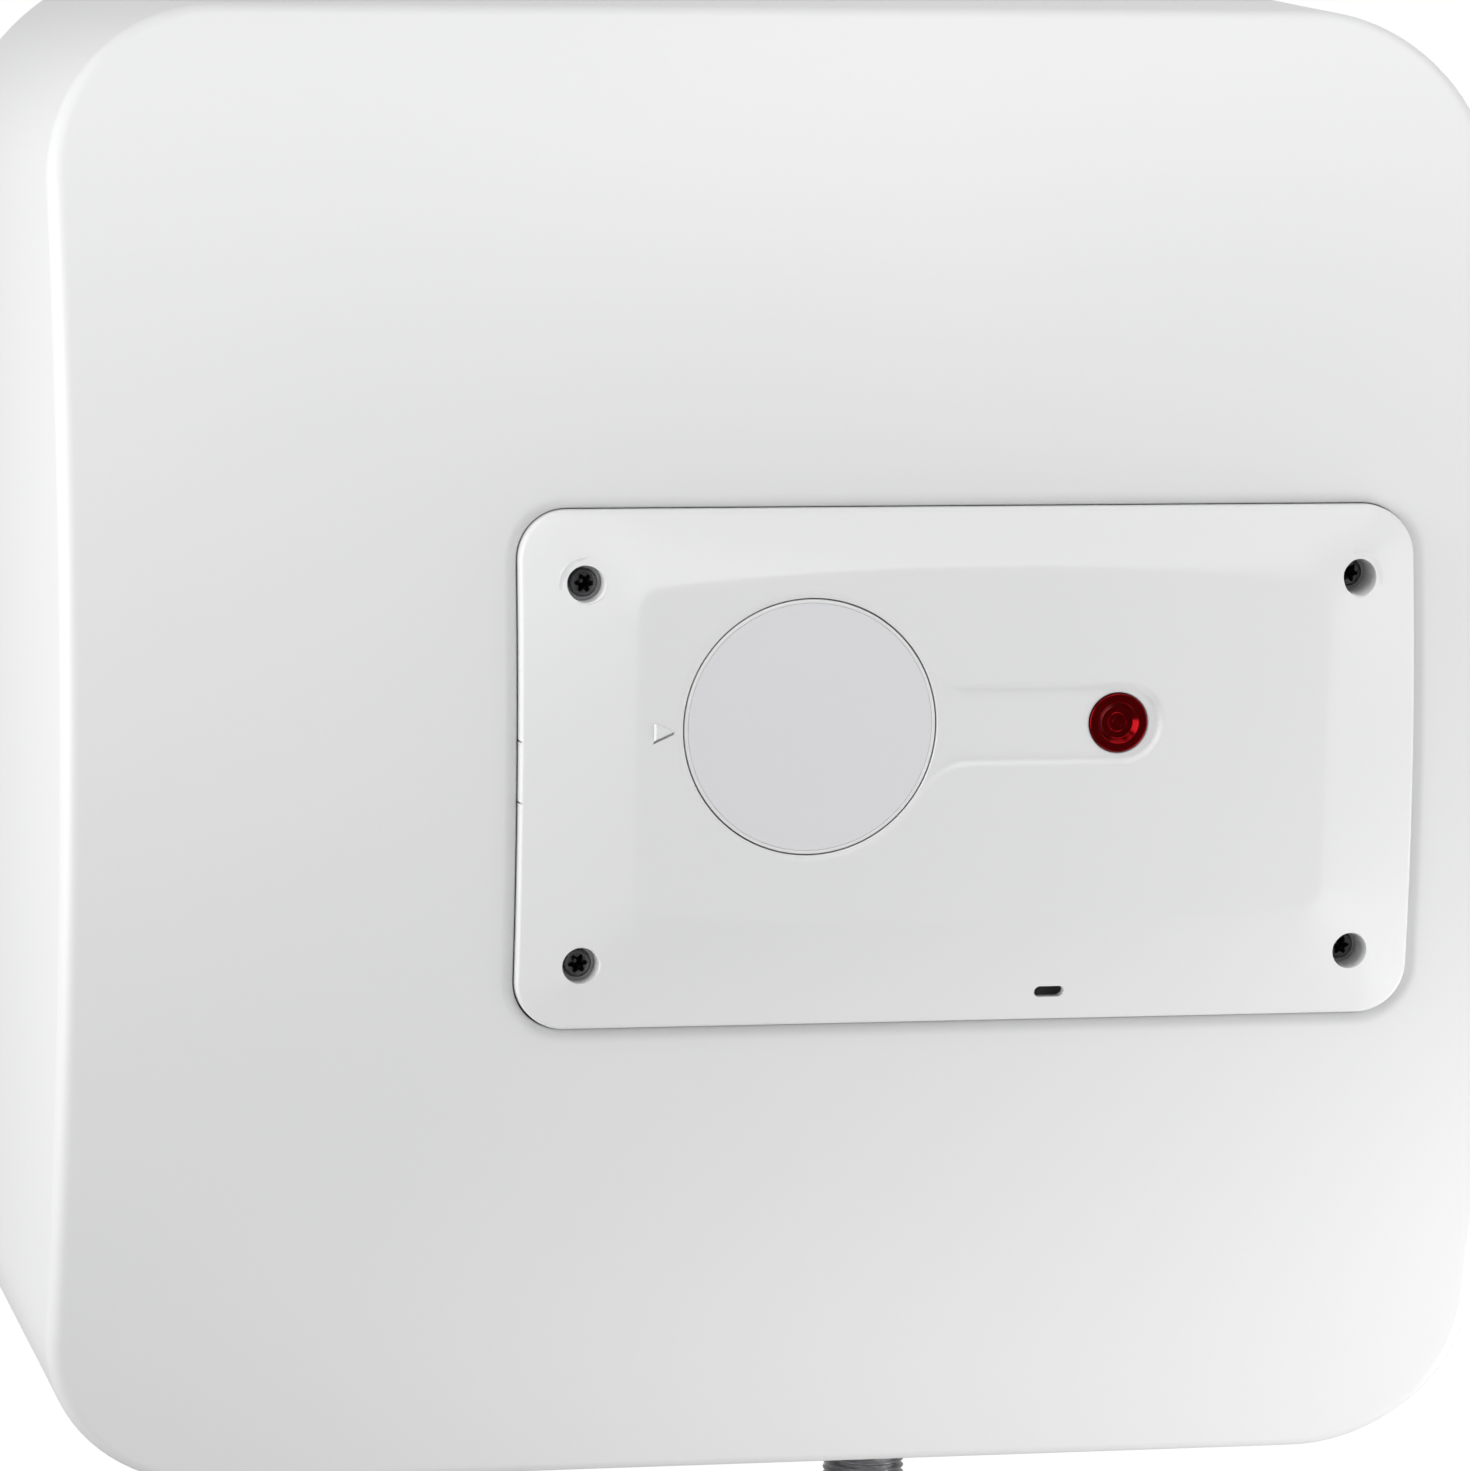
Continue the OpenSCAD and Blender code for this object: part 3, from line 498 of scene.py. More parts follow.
def make_front_shell():
    centre = (COVER["cx"], COVER["cz"])
    outer = dict(front_box(CROWN, EDGE_R), cx=0.0, cz=0.0)
    angles = outline_angles(centre, (POCKET, outer), 5.0, 18)
    opening_x, opening_z = cast(service_gap, angles, centre)
    rings = []

    def opening(drop):
        rings.append(np.stack([opening_x, front_at(opening_z) - drop, opening_z], axis=1))

    # pocket floor, its corner, the wall and the soft rim
    opening(POCKET_DROP)
    pocket_foot = (
        (3.0, POCKET_DROP), (0.8, POCKET_DROP), (0.25, POCKET_DROP - 0.25), (0.0, POCKET_DROP - 0.8)
    )
    for inset, drop in pocket_foot:
        rings.append(ring_at_front(grown(POCKET, -inset), angles, centre, drop))
    for a in np.radians(np.linspace(0, 90, 11)):
        out, drop = POCKET_RIM_W * (1 - math.cos(a)), POCKET_RIM_H * (1 - math.sin(a))
        rings.append(ring_at_front(grown(POCKET, out), angles, centre, drop))

    # the curved front, out to the fillet
    ball, face, out = edge_fillet(angles, centre)
    meet = ball + EDGE_R * face
    start = rings[-1]
    for part in np.linspace(0, 1, 27)[1:-1]:
        ring = start + (meet - start) * part
        ring[:, 1] = front_at(ring[:, 2])
        rings.append(ring)
    turn = np.arccos(np.clip((face * out).sum(axis=1), -1, 1))
    for part in np.linspace(1, 0, 13):
        a = np.sin((1 - part) * turn)[:, None] * out + np.sin(part * turn)[:, None] * face
        rings.append(ball + EDGE_R * a / np.sin(turn)[:, None])

    # side walls to the seam, and back inside them
    front_end = rings[-1][:, 1]
    seam_face = SEAM + SEAM_GAP
    for part in np.linspace(0, 1, 9)[1:]:
        depth = front_end + (seam_face + SEAM_EDGE_R - front_end) * part
        rings.append(ring_on(front_box(depth), angles, centre, depth))
    for a in np.radians((30, 60, 90)):
        inset = SEAM_EDGE_R * (1 - math.cos(a))
        depth = seam_face + SEAM_EDGE_R * (1 - math.sin(a))
        rings.append(ring_on(front_box(depth, inset), angles, centre, depth))
    rings.append(ring_on(front_box(seam_face, WALL), angles, centre, seam_face))
    inner_end = front_end - WALL
    for part in np.linspace(0, 1, 5)[1:]:
        depth = seam_face + (inner_end - seam_face) * part
        rings.append(ring_on(front_box(depth, WALL), angles, centre, depth))
    corner = rings[-1]
    tray = ring_at_front(grown(POCKET, WALL), angles, centre, WALL)
    for part in np.linspace(0, 1, 9)[1:-1]:
        ring = corner + (tray - corner) * part
        ring[:, 1] = front_at(ring[:, 2]) - WALL
        rings.append(ring)
    rings.append(tray)
    rings.append(ring_at_front(grown(POCKET, WALL), angles, centre, POCKET_DROP + WALL))
    opening(POCKET_DROP + WALL)
    shell = loft("front_shell_skin", rings, closed=True)

    cutters = []
    half = np.radians(np.linspace(0, 180, 49))
    for side in (-1, 1):
        x = np.concatenate([side * PIPE_X + SLOT_R * np.cos(half),
                            [side * PIPE_X - SLOT_R, side * PIPE_X + SLOT_R]])
        depth = np.concatenate([PIPE_DEPTH + SLOT_R * np.sin(half), [SEAM - 2, SEAM - 2]])
        cut = [np.stack([x, depth, np.full_like(x, z)], axis=1) for z in (BOTTOM - 4, BOTTOM + 8)]
        cutters.append(loft("slot", cut))
    hole = [(7.4, BOTTOM - 4), (7.4, BOTTOM + 8)]
    cutters.append(lathe("grommet_hole", hole, (GROMMET_X, GROMMET_DEPTH), "z", 64, closed=False))
    combine(shell, cutters, "DIFFERENCE")

    posts = []
    for sx in (-1, 1):
        for sz in (-1, 1):
            end = float(front_at(sz * (SHELL_SCREW_AT + 6))) - 1.2
            ring = [(1.9, SEAM + 2), (6.0, SEAM + 2), (6.0, end), (1.9, end)]
            posts.append(lathe("post", ring, (sx * SHELL_SCREW_AT, sz * SHELL_SCREW_AT), "depth", 40))
    join(shell, posts)
    return mount(shell, "heater", "front_shell", casing_white)


# ---- rear casing ----


def make_rear_shell():
    centre = (0.0, 0.0)
    seam_box = dict(rear_box(SEAM), cx=0.0, cz=0.0)
    back_box = dict(rear_box(BACK), cx=0.0, cz=0.0)
    angles = outline_angles(centre, (seam_box, back_box), 12.0, 14)
    seam_face = SEAM - SEAM_GAP

    def at(depth, inset=0.0):
        return ring_on(rear_box(depth, inset), angles, centre, depth)

    inner = BACK + WALL
    rings = [at(inner, WALL)]
    rings += [at(d, WALL) for d in np.linspace(inner, seam_face, 6)[1:]]
    for a in np.radians((90, 60, 30, 0)):
        rings.append(at(seam_face - SEAM_EDGE_R * (1 - math.sin(a)), SEAM_EDGE_R * (1 - math.cos(a))))
    for depth in np.linspace(seam_face - SEAM_EDGE_R, BACK + BACK_EDGE_R, 12)[1:]:
        rings.append(at(depth))
    for a in np.radians(np.linspace(0, 90, 9)[1:]):
        rings.append(at(BACK + BACK_EDGE_R * (1 - math.sin(a)), BACK_EDGE_R * (1 - math.cos(a))))
    shell = loft("rear_shell_skin", rings)

    tray_z = -12.0 - BODY_Z
    tray_box = dict(w=220.0, h=76.0, r=4.0, cx=0.0, cz=tray_z)
    solids = [prism("tray", *rounded_outline(grown(tray_box, WALL)), BACK + 1.2, 26.5)]
    corners = [(sx * SHELL_SCREW_AT, sz * SHELL_SCREW_AT) for sx in (-1, 1) for sz in (-1, 1)]
    for x, z in corners:
        boss = [(7.5, BACK + 1.2), (7.5, SEAM - 0.5)]
        solids.append(lathe("boss", boss, (x, z), "depth", 48, closed=False))
    combine(shell, solids, "UNION")

    mouth = []
    for a in np.radians(np.linspace(0, 90, 6)):
        mouth.append((1.5 * (1 - math.cos(a)), BACK + 1.5 * (1 - math.sin(a))))
    rings = []
    for grow, depth in [(-1.0, 24.0), (-0.3, 23.7), (0.0, 23.0)] + mouth + [(1.5, BACK - 1.0)]:
        x, z = rounded_outline(grown(tray_box, grow))
        rings.append(np.stack([x, np.full_like(x, depth), z], axis=1))
    cutters = [loft("tray_cut", rings)]
    for x, z in corners:
        profile = [(2.1, SEAM + 1), (2.1, SEAM - 13), (5.9, SEAM - 13), (6.0, BACK + 1.0)]
        profile += [(6.3, BACK + 0.4), (7.0, BACK), (7.0, BACK - 1)]
        cutters.append(lathe("well", profile, (x, z), "depth", 48, closed=False))
    for side in (-1, 1):
        hole = [(7.6, 20.0), (7.6, 30.0)]
        cutters.append(lathe("post_hole", hole, (side * 60.0, -34.0 - BODY_Z), "depth", 48, closed=False))
    combine(shell, cutters, "DIFFERENCE")

    tongues = []
    for side in (-1, 1):
        x0, x1 = side * PIPE_X - SLOT_R + 0.35, side * PIPE_X + SLOT_R - 0.35
        arc_end = np.radians(np.linspace(0, 180, 25))
        hollow_x = side * PIPE_X + (SLOT_R - 0.36) * np.cos(arc_end)
        hollow_r = COLLAR_R + 0.35
        hollow_depth = PIPE_DEPTH - np.sqrt(hollow_r**2 - (hollow_x - side * PIPE_X) ** 2)
        x = np.concatenate([hollow_x, [x0, x1]])
        depth = np.concatenate([hollow_depth, [SEAM - 6, SEAM - 6]])
        rings = []
        for inset in (0.12, WALL):
            z = -(front_box(depth)["h"] / 2 - inset)
            rings.append(np.stack([x, depth, z], axis=1))
        tongues.append(loft("tongue", rings))
    join(shell, tongues)
    return mount(shell, "heater", "rear_shell", casing_white)


# ---- control cover ----


def smooth_step(value, low, high):
    t = np.clip((value - low) / (high - low), 0, 1)
    return t * t * (3 - 2 * t)


def plateau_gap(x, z):
    """Distance outside the cover's flat middle, whose long edges bow out a little."""
    top = 49.2 - 5.2 * ((x - 43.0) / 85.0) ** 2
    bottom = -37.3 + 3.3 * ((x - 50.0) / 85.0) ** 2
    across = np.maximum(PLATEAU_LEFT - x, x - PLATEAU_RIGHT)
    along = np.maximum(z - top, bottom - z)
    r = 5.0
    away = np.hypot(np.maximum(across + r, 0), np.maximum(along + r, 0))
    return away + np.minimum(np.maximum(across, along) + r, 0) - r


def recess_gap(x, z):
    """Distance outside the keyhole-shaped recess round the dial and the lens."""
    ring = np.hypot(x, z - DIAL_Z) - (DIAL_R + DIAL_GAP)
    along = np.clip(x, 0, LENS_X + 1)
    groove = np.hypot(x - along, z - DIAL_Z) - GROOVE_R
    blend = 9.0
    h = np.clip(0.5 + 0.5 * (ring - groove) / blend, 0, 1)
    return ring + (groove - ring) * h - blend * h * (1 - h)


def cover_depth(x, z):
    """Depth of the control cover's front surface."""
    rim = front_at(z) + RIM_RISE
    out = plateau_gap(x, z)
    inner = -rounded_gap(x, z, **COVER)
    soft = 0.5 + 1.6 * smooth_step(x, 30, 120) * smooth_step(z, 10, 45) + 0.3 * smooth_step(-z, 0, 35)
    rise = (out + np.sqrt(out**2 + soft**2)) / 2
    span = np.maximum(np.maximum(out, 0) + np.maximum(inner, 0), 6.0)
    surface = PLATEAU - (PLATEAU - rim) * np.minimum(rise / span, 1.0)
    recess = 1 - smooth_step(recess_gap(x, z), 0.0, GROOVE_WALL)
    near_dial = smooth_step(np.hypot(x, z - DIAL_Z), DIAL_R + 1.0, DIAL_R + 9.0)
    lip = 0.45 + 0.55 * np.maximum(near_dial, 0)
    return surface - GROOVE_DEPTH * recess * lip


def well_floor(sx, sz):
    """Depth of the floor of one screw well."""
    return WELL_FLOOR_LEFT if sx < 0 else WELL_FLOOR_RIGHT - sz * WELL_FLOOR_STEP


def make_panel_cover():
    pole = (42.0, -21.0)
    angles = outline_angles(pole, (grown(COVER, -COVER_EDGE_R),), 0.9, 22)
    inner = ring_on(grown(COVER, -COVER_EDGE_R), angles, pole, 0.0)
    inner[:, 1] = cover_depth(inner[:, 0], inner[:, 2])
    rings = []

    # underside, from the middle out
    for part in (0.02, 0.25, 0.5, 0.75, 0.92):
        ring = np.array(inner)
        ring[:, 0] = pole[0] + (inner[:, 0] - pole[0]) * part
        ring[:, 2] = pole[1] + (inner[:, 2] - pole[1]) * part
        ring[:, 1] = cover_depth(ring[:, 0], ring[:, 2]) - WALL - GROOVE_DEPTH * 0.2
        rings.append(ring)
    side = grown(COVER, -WALL)
    lip = ring_on(side, angles, pole, 0.0)
    lip[:, 1] = front_at(lip[:, 2]) - POCKET_DROP + 0.3
    top = np.array(lip)
    top[:, 1] = cover_depth(top[:, 0], top[:, 2]) - WALL
    rings += [top, lip]
    foot = ring_on(COVER, angles, pole, 0.0)
    foot[:, 1] = front_at(foot[:, 2]) - POCKET_DROP + 0.3
    rings.append(foot)

    # side and edge fillet
    for a in np.radians(np.linspace(0, 90, 8)):
        ring = ring_on(grown(COVER, -COVER_EDGE_R * (1 - math.cos(a))), angles, pole, 0.0)
        ring[:, 1] = cover_depth(ring[:, 0], ring[:, 2]) - COVER_EDGE_R * (1 - math.sin(a))
        rings.append(ring)

    # front surface, in to the middle
    for part in np.linspace(1, 0.004, 150)[1:]:
        ring = np.array(inner)
        ring[:, 0] = pole[0] + (inner[:, 0] - pole[0]) * part
        ring[:, 2] = pole[1] + (inner[:, 2] - pole[1]) * part
        ring[:, 1] = cover_depth(ring[:, 0], ring[:, 2])
        rings.append(ring)
    cover = loft("panel_cover_skin", rings)

    # cups behind the dial, the lens and the screws
    cups = [lathe("cup", [(DIAL_R + 3, 330.2), (DIAL_R + 3, 339.6)], (0, DIAL_Z), "depth", 96, closed=False)]
    cups.append(lathe("cup", [(9.2, 328.2), (9.2, 339.6)], (LENS_X, DIAL_Z), "depth", 64, closed=False))
    places = []
    for sx in (-1, 1):
        for sz in (-1, 1):
            x, z = SCREW_X + sx * SCREW_DX, SCREW_Z + sz * SCREW_DZ
            face = float(cover_depth(np.array(x), np.array(z)))
            places.append((x, z, face, well_floor(sx, sz)))
            foot = float(front_at(z)) - POCKET_DROP + 0.4
            cups.append(lathe("cup", [(6.2, foot), (6.2, face - 2.0)], (x, z), "depth", 48, closed=False))
    combine(cover, cups, "UNION")

    cutters = []
    edge, ring_floor = 0.4, PLATEAU - GROOVE_DEPTH * 0.45
    profile = [(DIAL_R + DIAL_GAP, DIAL_FLOOR), (DIAL_R + DIAL_GAP, ring_floor - edge)]
    profile += [(DIAL_R + DIAL_GAP + edge * (1 - math.cos(a)), ring_floor - edge * (1 - math.sin(a)))
                for a in np.radians((22, 45, 67, 90))]
    profile.append((DIAL_R + DIAL_GAP + edge + 0.1, PLATEAU + 2))
    cutters.append(lathe("dial_cut", profile, (0, DIAL_Z), "depth", 256, closed=False))
    cutters.append(lathe("hub_cut", [(9, 320), (9, 335)], (0, DIAL_Z), "depth", 64, closed=False))
    floor = PLATEAU - GROOVE_DEPTH
    profile = [(LENS_R + 0.12, 320), (LENS_R + 0.12, floor - 0.35)]
    profile += [(LENS_R + 0.12 + 0.35 * (1 - math.cos(a)), floor - 0.35 * (1 - math.sin(a)))
                for a in np.radians((22, 45, 67, 90))]
    profile.append((LENS_R + 0.6, floor + 3))
    cutters.append(lathe("lens_cut", profile, (LENS_X, DIAL_Z), "depth", 128, closed=False))
    for x, z, face, bottom in places:
        flare = 0.35
        profile = [(2.2, 315), (2.2, bottom), (WELL_R, bottom), (WELL_R, face - flare)]
        profile += [(WELL_R + flare * (1 - math.cos(a)), face - flare * (1 - math.sin(a)))
                    for a in np.radians((18, 36, 54, 72, 90))]
        profile.append((WELL_R + flare + 0.05, face + 6))
        cutters.append(lathe("well_cut", profile, (x, z), "depth", 96, closed=False))
    slot = dict(w=SLOT_W, h=SLOT_H, r=SLOT_H / 2 - 0.001, cx=SLOT_X, cz=SLOT_Z)
    cutters.append(prism("slot_cut", *rounded_outline(slot), 320, 345))
    left = COVER["cx"] - COVER["w"] / 2
    for z in (7.4, -7.2):
        notch = dict(w=1.3, h=0.5, r=0.2, cx=left, cz=z)
        cutters.append(prism("notch", *rounded_outline(notch, 6), 320, 345))
    # fine groove along the pointer's lower edge
    x, z = np.array([-38.3, -33.4, -33.1, -38.1]), np.array([7.4, 9.65, 10.4, 8.15])
    cutters.append(prism("pointer_line", x, z, PLATEAU - 1.1, PLATEAU + 1))
    combine(cover, cutters, "DIFFERENCE")

    pointer = []
    for shrink, depth in ((0.0, PLATEAU - 0.6), (0.0, PLATEAU), (0.45, PLATEAU + 0.55)):
        corners = np.array([(-38.1 + shrink, 12.6 - 1.3 * shrink), (-38.1 + shrink, 8.1 + 1.3 * shrink),
                            (-33.3 - 1.9 * shrink, 10.35)])
        pointer.append(np.stack([corners[:, 0], np.full(3, depth), corners[:, 1]], axis=1))
    mark = loft("pointer", pointer)
    bevel(mark, 0.12, 2)
    join(cover, [mark])
    return mount(cover, "heater", "panel_cover", cover_white, angle=38)


def make_dial():
    hub = 325.5
    r = DIAL_R
    profile = [(3.05, hub), (6.6, hub), (7.0, hub + 0.4), (7.0, 333.2), (7.8, 334.0), (r - 2.5, 334.0)]
    profile += arc(r - 1.2, 335.2, 1.2, 270, 360, 5)
    profile += arc(r - 0.45, DIAL_FACE - 0.45, 0.45, 0, 90, 6)
    profile += [(r - 0.75, DIAL_FACE), (r - 0.85, DIAL_FACE - 0.1)]
    profile += [(r - 0.85, DIAL_FACE - 0.8), (3.05, DIAL_FACE - 0.8)]
    knob = lathe("dial_body", profile, (0, DIAL_Z), "depth", 256)
    mount(knob, "dial", "dial_knob", dial_white)
    face = [(0.02, DIAL_FACE - 0.8), (r - 0.9, DIAL_FACE - 0.8), (r - 0.9, DIAL_FACE - 0.2)]
    face += arc(r - 1.05, DIAL_FACE - 0.2, 0.15, 0, 90, 3)
    face += [(r * 0.6, DIAL_FACE - 0.05), (0.02, DIAL_FACE - 0.05)]
    disc = lathe("dial_face", face, (0, DIAL_Z), "depth", 256, closed=False)
    mount(disc, "dial", "dial_disc", dial_grey)


def make_lens():
    base = PLATEAU - GROOVE_DEPTH
    r = LENS_R
    profile = [(0.02, 336.0), (4.4, 336.0), (4.4, 331.0), (r - 0.2, 331.0), (r, 331.4), (r, base)]
    profile += arc(r - 0.5, base, 0.5, 0, 90, 5)
    profile += [(5.0, base + 0.5), (4.85, base + 0.4), (4.1, base - 0.6), (3.8, base - 0.85)]
    profile += [(2.45, base - 0.85), (2.3, base - 0.75), (2.15, base - 0.85), (1.25, base - 0.85)]
    profile += [(1.1, base - 0.7), (0.02, base - 0.65)]
    lens = lathe("lens", profile, (LENS_X, DIAL_Z), "depth", 128, closed=False)
    mount(lens, "heater", "indicator_lens", lens_red, angle=25)


def make_panel_screws():
    """Pan heads with a six-lobed recess."""
    steps = 96
    turn = np.linspace(0, 2 * np.pi, steps, endpoint=False)
    screws = []
    for sx in (-1, 1):
        for sz in (-1, 1):
            floor = well_floor(sx, sz)
            star = 1.88 + 0.42 * np.cos(6 * turn + 0.5 * sz + 0.2 * sx)
            plain = np.ones(steps)
            levels = [(0.02 * plain, -16.5), (0.7 * plain, -15.6), (1.47 * plain, -14), (1.47 * plain, 0.02)]
            levels += [(HEAD_R * plain, 0.02), (HEAD_R * plain, 1.0)]
            for a in np.radians((25, 50, 70)):
                levels.append((HEAD_R - 0.9 * (1 - math.cos(a)) * plain, 1.0 + 1.2 * math.sin(a)))
            levels += [(2.55 * plain, HEAD_T), (star + 0.1, HEAD_T), (star, HEAD_T - 0.1)]
            levels += [(star * 0.9, 0.6), (star * 0.6, -0.2), (0.5 * plain, -1.6), (0.02 * plain, -1.7)]
            x, z = SCREW_X + sx * SCREW_DX, SCREW_Z + sz * SCREW_DZ
            rings = [np.stack([x + r * np.cos(turn), np.full(steps, floor + h), z + r * np.sin(turn)], axis=1)
                     for r, h in levels]
            screws.append(loft("cover_screw", rings))
    join(screws[0], screws[1:])
    screws[0].name = "cover_screws"
    mount(screws[0], "heater", "panel_screws", black_steel, angle=30)


# ---- connections ----


def make_stub(side, node):
    """Connection with a true helical pipe thread at its lower end."""
    steps = 96
    turn = np.linspace(0, 2 * np.pi, steps, endpoint=False)
    low, high = BOTTOM - PIPE_DROP, BOTTOM - 4.0
    rings = []

    def ring(radius, height):
        r = np.broadcast_to(radius, turn.shape)
        x = side * PIPE_X + r * np.cos(turn)
        rings.append(np.stack([x, PIPE_DEPTH + r * np.sin(turn), np.full(steps, float(height))], axis=1))

    for r, z in ((PIPE_BORE_R, low + 0.6), (PIPE_BORE_R + 0.5, low), (9.0, low)):
        ring(r, z)
    for z in np.arange(low + 0.1, high, THREAD_PITCH / 13):
        phase = (z / THREAD_PITCH - turn / (2 * np.pi)) % 1.0
        wave = np.abs(2 * phase - 1)
        wave = smooth_step(wave, 0.02, 0.98) * 0.35 + np.clip(wave * 1.16 - 0.08, 0, 1) * 0.65
        fade = smooth_step(np.array(high - z), 0.0, 2.2)
        cone = 9.0 + (z - low) * 1.1
        thread = THREAD_R - THREAD_DEPTH * (1 - wave) * fade - (THREAD_R - NECK_R) * (1 - fade)
        ring(np.minimum(thread, cone), z)
    ring(NECK_R, high)
    ring(NECK_R, PIPE_TOP - 0.4)
    ring(NECK_R - 0.4, PIPE_TOP)
    ring(PIPE_BORE_R + 0.4, PIPE_TOP)
    ring(PIPE_BORE_R, PIPE_TOP - 0.4)
    stub = loft(node + "_thread", rings, closed=True)
    mount(stub, "heater", node, pipe_steel, angle=50)


def make_collar(side, node, material):
    b = BOTTOM
    lip = COLLAR_R + 3.0
    profile = [(NECK_R + 0.05, b + 5.5), (NECK_R + 0.05, b - 1.7)]
    profile += [(NECK_R + 0.35, b - 2.0), (lip - 1.0, b - 2.0)]
    profile += arc(lip - 0.8, b - 1.2, 0.8, 270, 360, 5)
    profile += [(lip, b - 0.5), (COLLAR_R, b - 0.45), (COLLAR_R, b + 5.2), (COLLAR_R - 0.3, b + 5.5)]
    collar = lathe(node + "_ring", profile, (side * PIPE_X, PIPE_DEPTH), "z", 96)
    mount(collar, "heater", node, material)


def make_grommet():
    b = BOTTOM
    profile = [(4.0, b + 6.5), (4.0, b - 2.9)] + arc(4.6, b - 2.9, 0.6, 180, 270, 4)
    profile += arc(8.5, b - 2.5, 1.0, 270, 360, 6)
    profile += [(9.5, b - 0.15), (7.2, b - 0.05), (7.2, b + 2.8)]
    profile += [(9.0, b + 2.85), (8.9, b + 3.4), (8.2, b + 6.5)]
    grommet = lathe("cable_sleeve", profile, (GROMMET_X, GROMMET_DEPTH), "z", 72)
    mount(grommet, "heater", "cable_grommet", black_rubber)


# ---- hanging ----


def bent_sheet(name, path, radius, thickness, width):
    """Folded strip: a path of (depth, height) corners with rounded bends, seen from the end."""
    line = [np.array(path[0], float)]
    for before, here, after in zip(path, path[1:], path[2:]):
        here, a, b = np.array(here, float), np.array(before, float), np.array(after, float)
        u, v = (a - here) / np.linalg.norm(a - here), (b - here) / np.linalg.norm(b - here)
        start, end = here + u * radius, here + v * radius
        centre = here + (u + v) * radius
        for t in np.linspace(0, 1, 9):
            p = start + (end - start) * t - centre
            line.append(centre + p / np.linalg.norm(p) * radius)
    line.append(np.array(path[-1], float))
    line = np.array(line)
    run = np.gradient(line, axis=0)
    run /= np.linalg.norm(run, axis=1)[:, None]
    side = np.stack([-run[:, 1], run[:, 0]], axis=1) * thickness / 2
    outline = np.concatenate([line + side, (line - side)[::-1]])
    rings = []
    for x in (-width / 2, width / 2):
        rings.append(np.stack([np.full(len(outline), x), outline[:, 0], outline[:, 1] - BODY_Z], axis=1))
    return loft(name, rings)


def make_hanging():
    t = 2.5
    h = t / 2
    plate = bent_sheet("bracket_sheet", [(h, 20), (h, -20 + h), (14 - h, -20 + h), (14 - h, -8)], 1.6, t, 200)
    cutters = []
    for sx in (-1, 1):
        profile = [(4.25, -1), (4.25, t - 0.5), (4.75, t), (4.75, t + 1)]
        cutters.append(lathe("screw_hole", profile, (sx * 80, -BODY_Z), "depth", 48, closed=False))
    combine(plate, cutters, "DIFFERENCE")
    bevel(plate, 0.3, 2, 50)
    mount(plate, "heater", "wall_bracket", zinc_steel)

    hook = bent_sheet(
        "hanger_sheet", [(22 - h, -44), (22 - h, -3 - h), (8.4 + h, -3 - h), (8.4 + h, -17.3)], 1.6, t, 180)
    cutters = []
    for sx in (-1, 1):
        hole = [(4.05, 17), (4.05, 24)]
        cutters.append(lathe("post_hole", hole, (sx * 60, -34 - BODY_Z), "depth", 48, closed=False))
    combine(hook, cutters, "DIFFERENCE")
    bevel(hook, 0.3, 2, 50)
    mount(hook, "heater", "hanger_plate", zinc_steel)

    feet = []
    for sx in (-1, 1):
        profile = [(0.02, BACK), (10.0, BACK), (10.0, 6.2), (9.7, 5.6), (10.0, 5.0)]
        profile += arc(8.8, 1.2, 1.2, 0, -90, 5) + [(5.0, 0.0), (4.5, 0.6), (0.02, 0.6)]
        feet.append(lathe("foot", profile, (sx * 95, -100), "depth", 72, closed=False))
    join(feet[0], feet[1:])
    feet[0].name = "spacer_feet"
    mount(feet[0], "heater", "wall_spacers", black_rubber)


# ---- CAD nodes that stay as they are ----

KEPT = {
    "shell_screws": zinc_steel, "front_insulation": foam, "rear_insulation": foam, "tank_barrel": enamel_blue,
    "tank_front_head": enamel_blue, "tank_rear_head": enamel_blue, "inlet_diffuser": inner_plastic,
    "hot_standpipe": copper, "flange_ring": pipe_steel, "flange_studs": zinc_steel,
    "flange_gasket": black_rubber,
    "flange_plate": pipe_steel, "flange_nuts": zinc_steel, "heating_element": copper,
    "element_insulators": insulator, "element_tabs": brass, "anode_rod": magnesium, "anode_nut": zinc_steel,
    "thermostat_pocket": copper, "thermostat_probe": brass, "thermostat_body": bakelite,
    "thermostat_spindle": zinc_steel, "reset_button": button_red, "earth_stud": brass, "earth_nut": brass,
    "lamp_holder": inner_plastic, "indicator_lamp": lamp_glass, "element_leads": lead_blue,
    "lamp_leads": lead_white, "hanger_posts": pipe_steel, "hanger_nuts": zinc_steel,
}
for node_name, material in KEPT.items():
    nodes[node_name].data.materials.clear()
    nodes[node_name].data.materials.append(material)

make_front_shell()
make_rear_shell()
make_panel_cover()
make_dial()
make_lens()
make_panel_screws()
make_stub(1, "cold_inlet_stub")
make_stub(-1, "hot_outlet_stub")
make_collar(1, "cold_pipe_collar", collar_blue)
make_collar(-1, "hot_pipe_collar", collar_red)
make_grommet()
make_hanging()


# ---- stage, light and camera ----


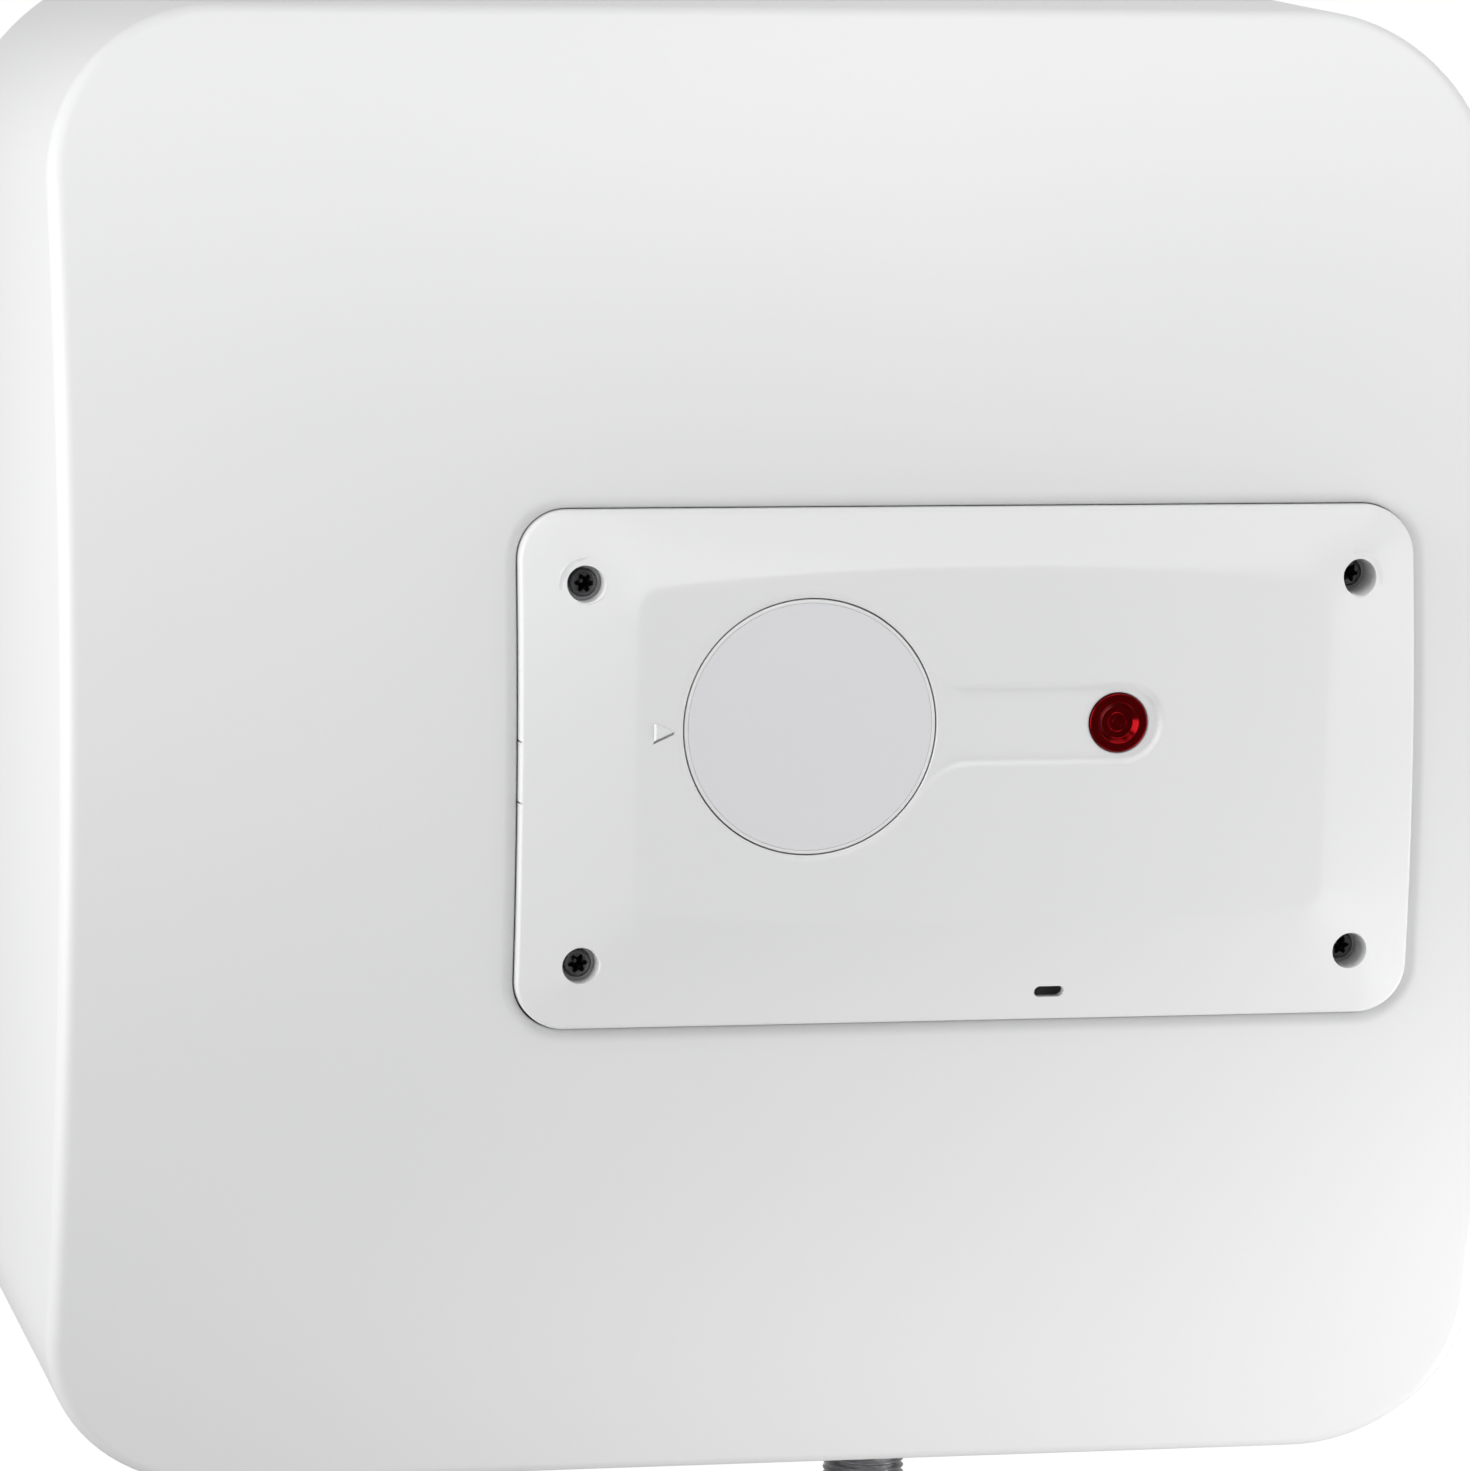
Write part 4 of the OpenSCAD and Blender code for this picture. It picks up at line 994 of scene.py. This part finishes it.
# name, place, target, size in metres, watts
LIGHTS = (
    ("left", (-0.80, -0.60, 0.00), (-0.18, -0.25, -0.05), (0.6, 0.8), 5.27),
    ("above", (0.25, -0.50, 0.50), (0.05, -0.33, 0.03), (0.6, 0.4), 0.91),
    ("below", (0.03, -0.60, -0.54), (0.02, -0.34, -0.28), (0.3, 0.2), 0.24),
    ("lower_right", (0.40, -0.56, -0.37), (0.14, -0.34, -0.23), (0.3, 0.3), 0.60),
    ("right", (0.50, -0.50, -0.05), (0.17, -0.34, -0.1), (0.2, 0.5), 0.55),
    ("above_left", (-0.10, -0.60, 0.35), (-0.05, -0.33, 0.03), (0.5, 0.2), 0.55),
    ("above_right", (0.25, -0.60, 0.35), (0.1, -0.33, 0.03), (0.5, 0.2), 0.39),
    ("edge_right", (0.45, -0.42, -0.40), (0.17, -0.3, -0.2), (0.3, 0.3), 0.68),
    ("under", (0.06, -0.44, -0.40), (0.06, -0.325, -0.27), (0.24, 0.06), 0.03),
)


def make_floor():
    size, z = 3.0, -1.3
    corners = [(-size, -size, z), (size, -size, z), (size, size, z), (-size, size, z)]
    mesh = bpy.data.meshes.new("floor")
    mesh.from_pydata(corners, [], [(0, 1, 2, 3)])
    floor = bpy.data.objects.new("floor", mesh)
    bpy.context.scene.collection.objects.link(floor)
    mat, _, shader = new_material("floor_pale")
    shader.inputs["Base Color"].default_value = (0.86, 0.86, 0.85, 1)
    shader.inputs["Roughness"].default_value = 0.8
    mesh.materials.append(mat)


AMBIENT = 0.22
LOBES = (((0, 1, 0), 0.564), ((-1, -0.4, -0.5), 0.386))
BACKGROUND = 1.02


def make_world():
    """Soft light from all round, stronger from a few sides, against a white background."""
    sky = bpy.data.worlds.new("studio")
    sky.use_nodes = True
    tree = sky.node_tree
    coords = tree.nodes.new("ShaderNodeTexCoord")
    total = None
    for direction, strength in LOBES:
        facing = tree.nodes.new("ShaderNodeVectorMath")
        facing.operation = "DOT_PRODUCT"
        tree.links.new(coords.outputs["Generated"], facing.inputs[0])
        facing.inputs[1].default_value = Vector(direction).normalized()
        lobe = tree.nodes.new("ShaderNodeMapRange")
        lobe.interpolation_type = "SMOOTHSTEP"
        lobe.inputs["From Min"].default_value = 0.2
        lobe.inputs["From Max"].default_value = 1.0
        lobe.inputs["To Max"].default_value = strength
        tree.links.new(facing.outputs["Value"], lobe.inputs["Value"])
        add = tree.nodes.new("ShaderNodeMath")
        add.inputs[1].default_value = AMBIENT
        tree.links.new(lobe.outputs["Result"], add.inputs[0])
        if total is not None:
            tree.links.new(total, add.inputs[1])
        total = add.outputs["Value"]
    back = next(n for n in tree.nodes if n.type == "BACKGROUND")
    back.inputs["Color"].default_value = (1, 1, 1, 1)
    tree.links.new(total, back.inputs["Strength"])
    white = tree.nodes.new("ShaderNodeBackground")
    white.inputs["Color"].default_value = (1, 1, 1, 1)
    white.inputs["Strength"].default_value = BACKGROUND
    seen = tree.nodes.new("ShaderNodeLightPath")
    mix = tree.nodes.new("ShaderNodeMixShader")
    tree.links.new(seen.outputs["Is Camera Ray"], mix.inputs[0])
    tree.links.new(back.outputs[0], mix.inputs[1])
    tree.links.new(white.outputs[0], mix.inputs[2])
    out = next(n for n in tree.nodes if n.type == "OUTPUT_WORLD")
    tree.links.new(mix.outputs[0], out.inputs["Surface"])
    bpy.context.scene.world = sky


def area_light(name, place, target, size, watts):
    lamp = bpy.data.lights.new(name, "AREA")
    lamp.shape = "RECTANGLE"
    lamp.size, lamp.size_y = size
    lamp.energy = watts
    obj = bpy.data.objects.new(name, lamp)
    bpy.context.scene.collection.objects.link(obj)
    obj.location = place
    obj.rotation_mode = "QUATERNION"
    obj.rotation_quaternion = (Vector(target) - Vector(place)).to_track_quat("-Z", "Y")
    obj.visible_camera = False


CAMERA_PLACE = (-0.42345, -2.13214, 0.17923)
CAMERA_FORWARD = (0.21837, 0.96454, -0.14823)
CAMERA_RIGHT = (0.97577, -0.21791, 0.01955)
SENSOR_WIDTH, FOCAL_LENGTH = 36.0, 191.5


def make_camera():
    """A long lens, from the left and a little above."""
    forward = Vector(CAMERA_FORWARD).normalized()
    right = Vector(CAMERA_RIGHT).normalized()
    up = right.cross(forward)
    cam = bpy.data.cameras.new("camera")
    cam.sensor_width = SENSOR_WIDTH
    cam.sensor_fit = "HORIZONTAL"
    cam.lens = FOCAL_LENGTH
    obj = bpy.data.objects.new("camera", cam)
    bpy.context.scene.collection.objects.link(obj)
    turn = Matrix((right, up, -forward)).transposed()
    obj.matrix_world = Matrix.Translation(CAMERA_PLACE) @ turn.to_4x4()
    bpy.context.scene.camera = obj


make_floor()
make_world()
for light in LIGHTS:
    area_light(*light)
make_camera()
bpy.context.scene.view_settings.view_transform = "Standard"
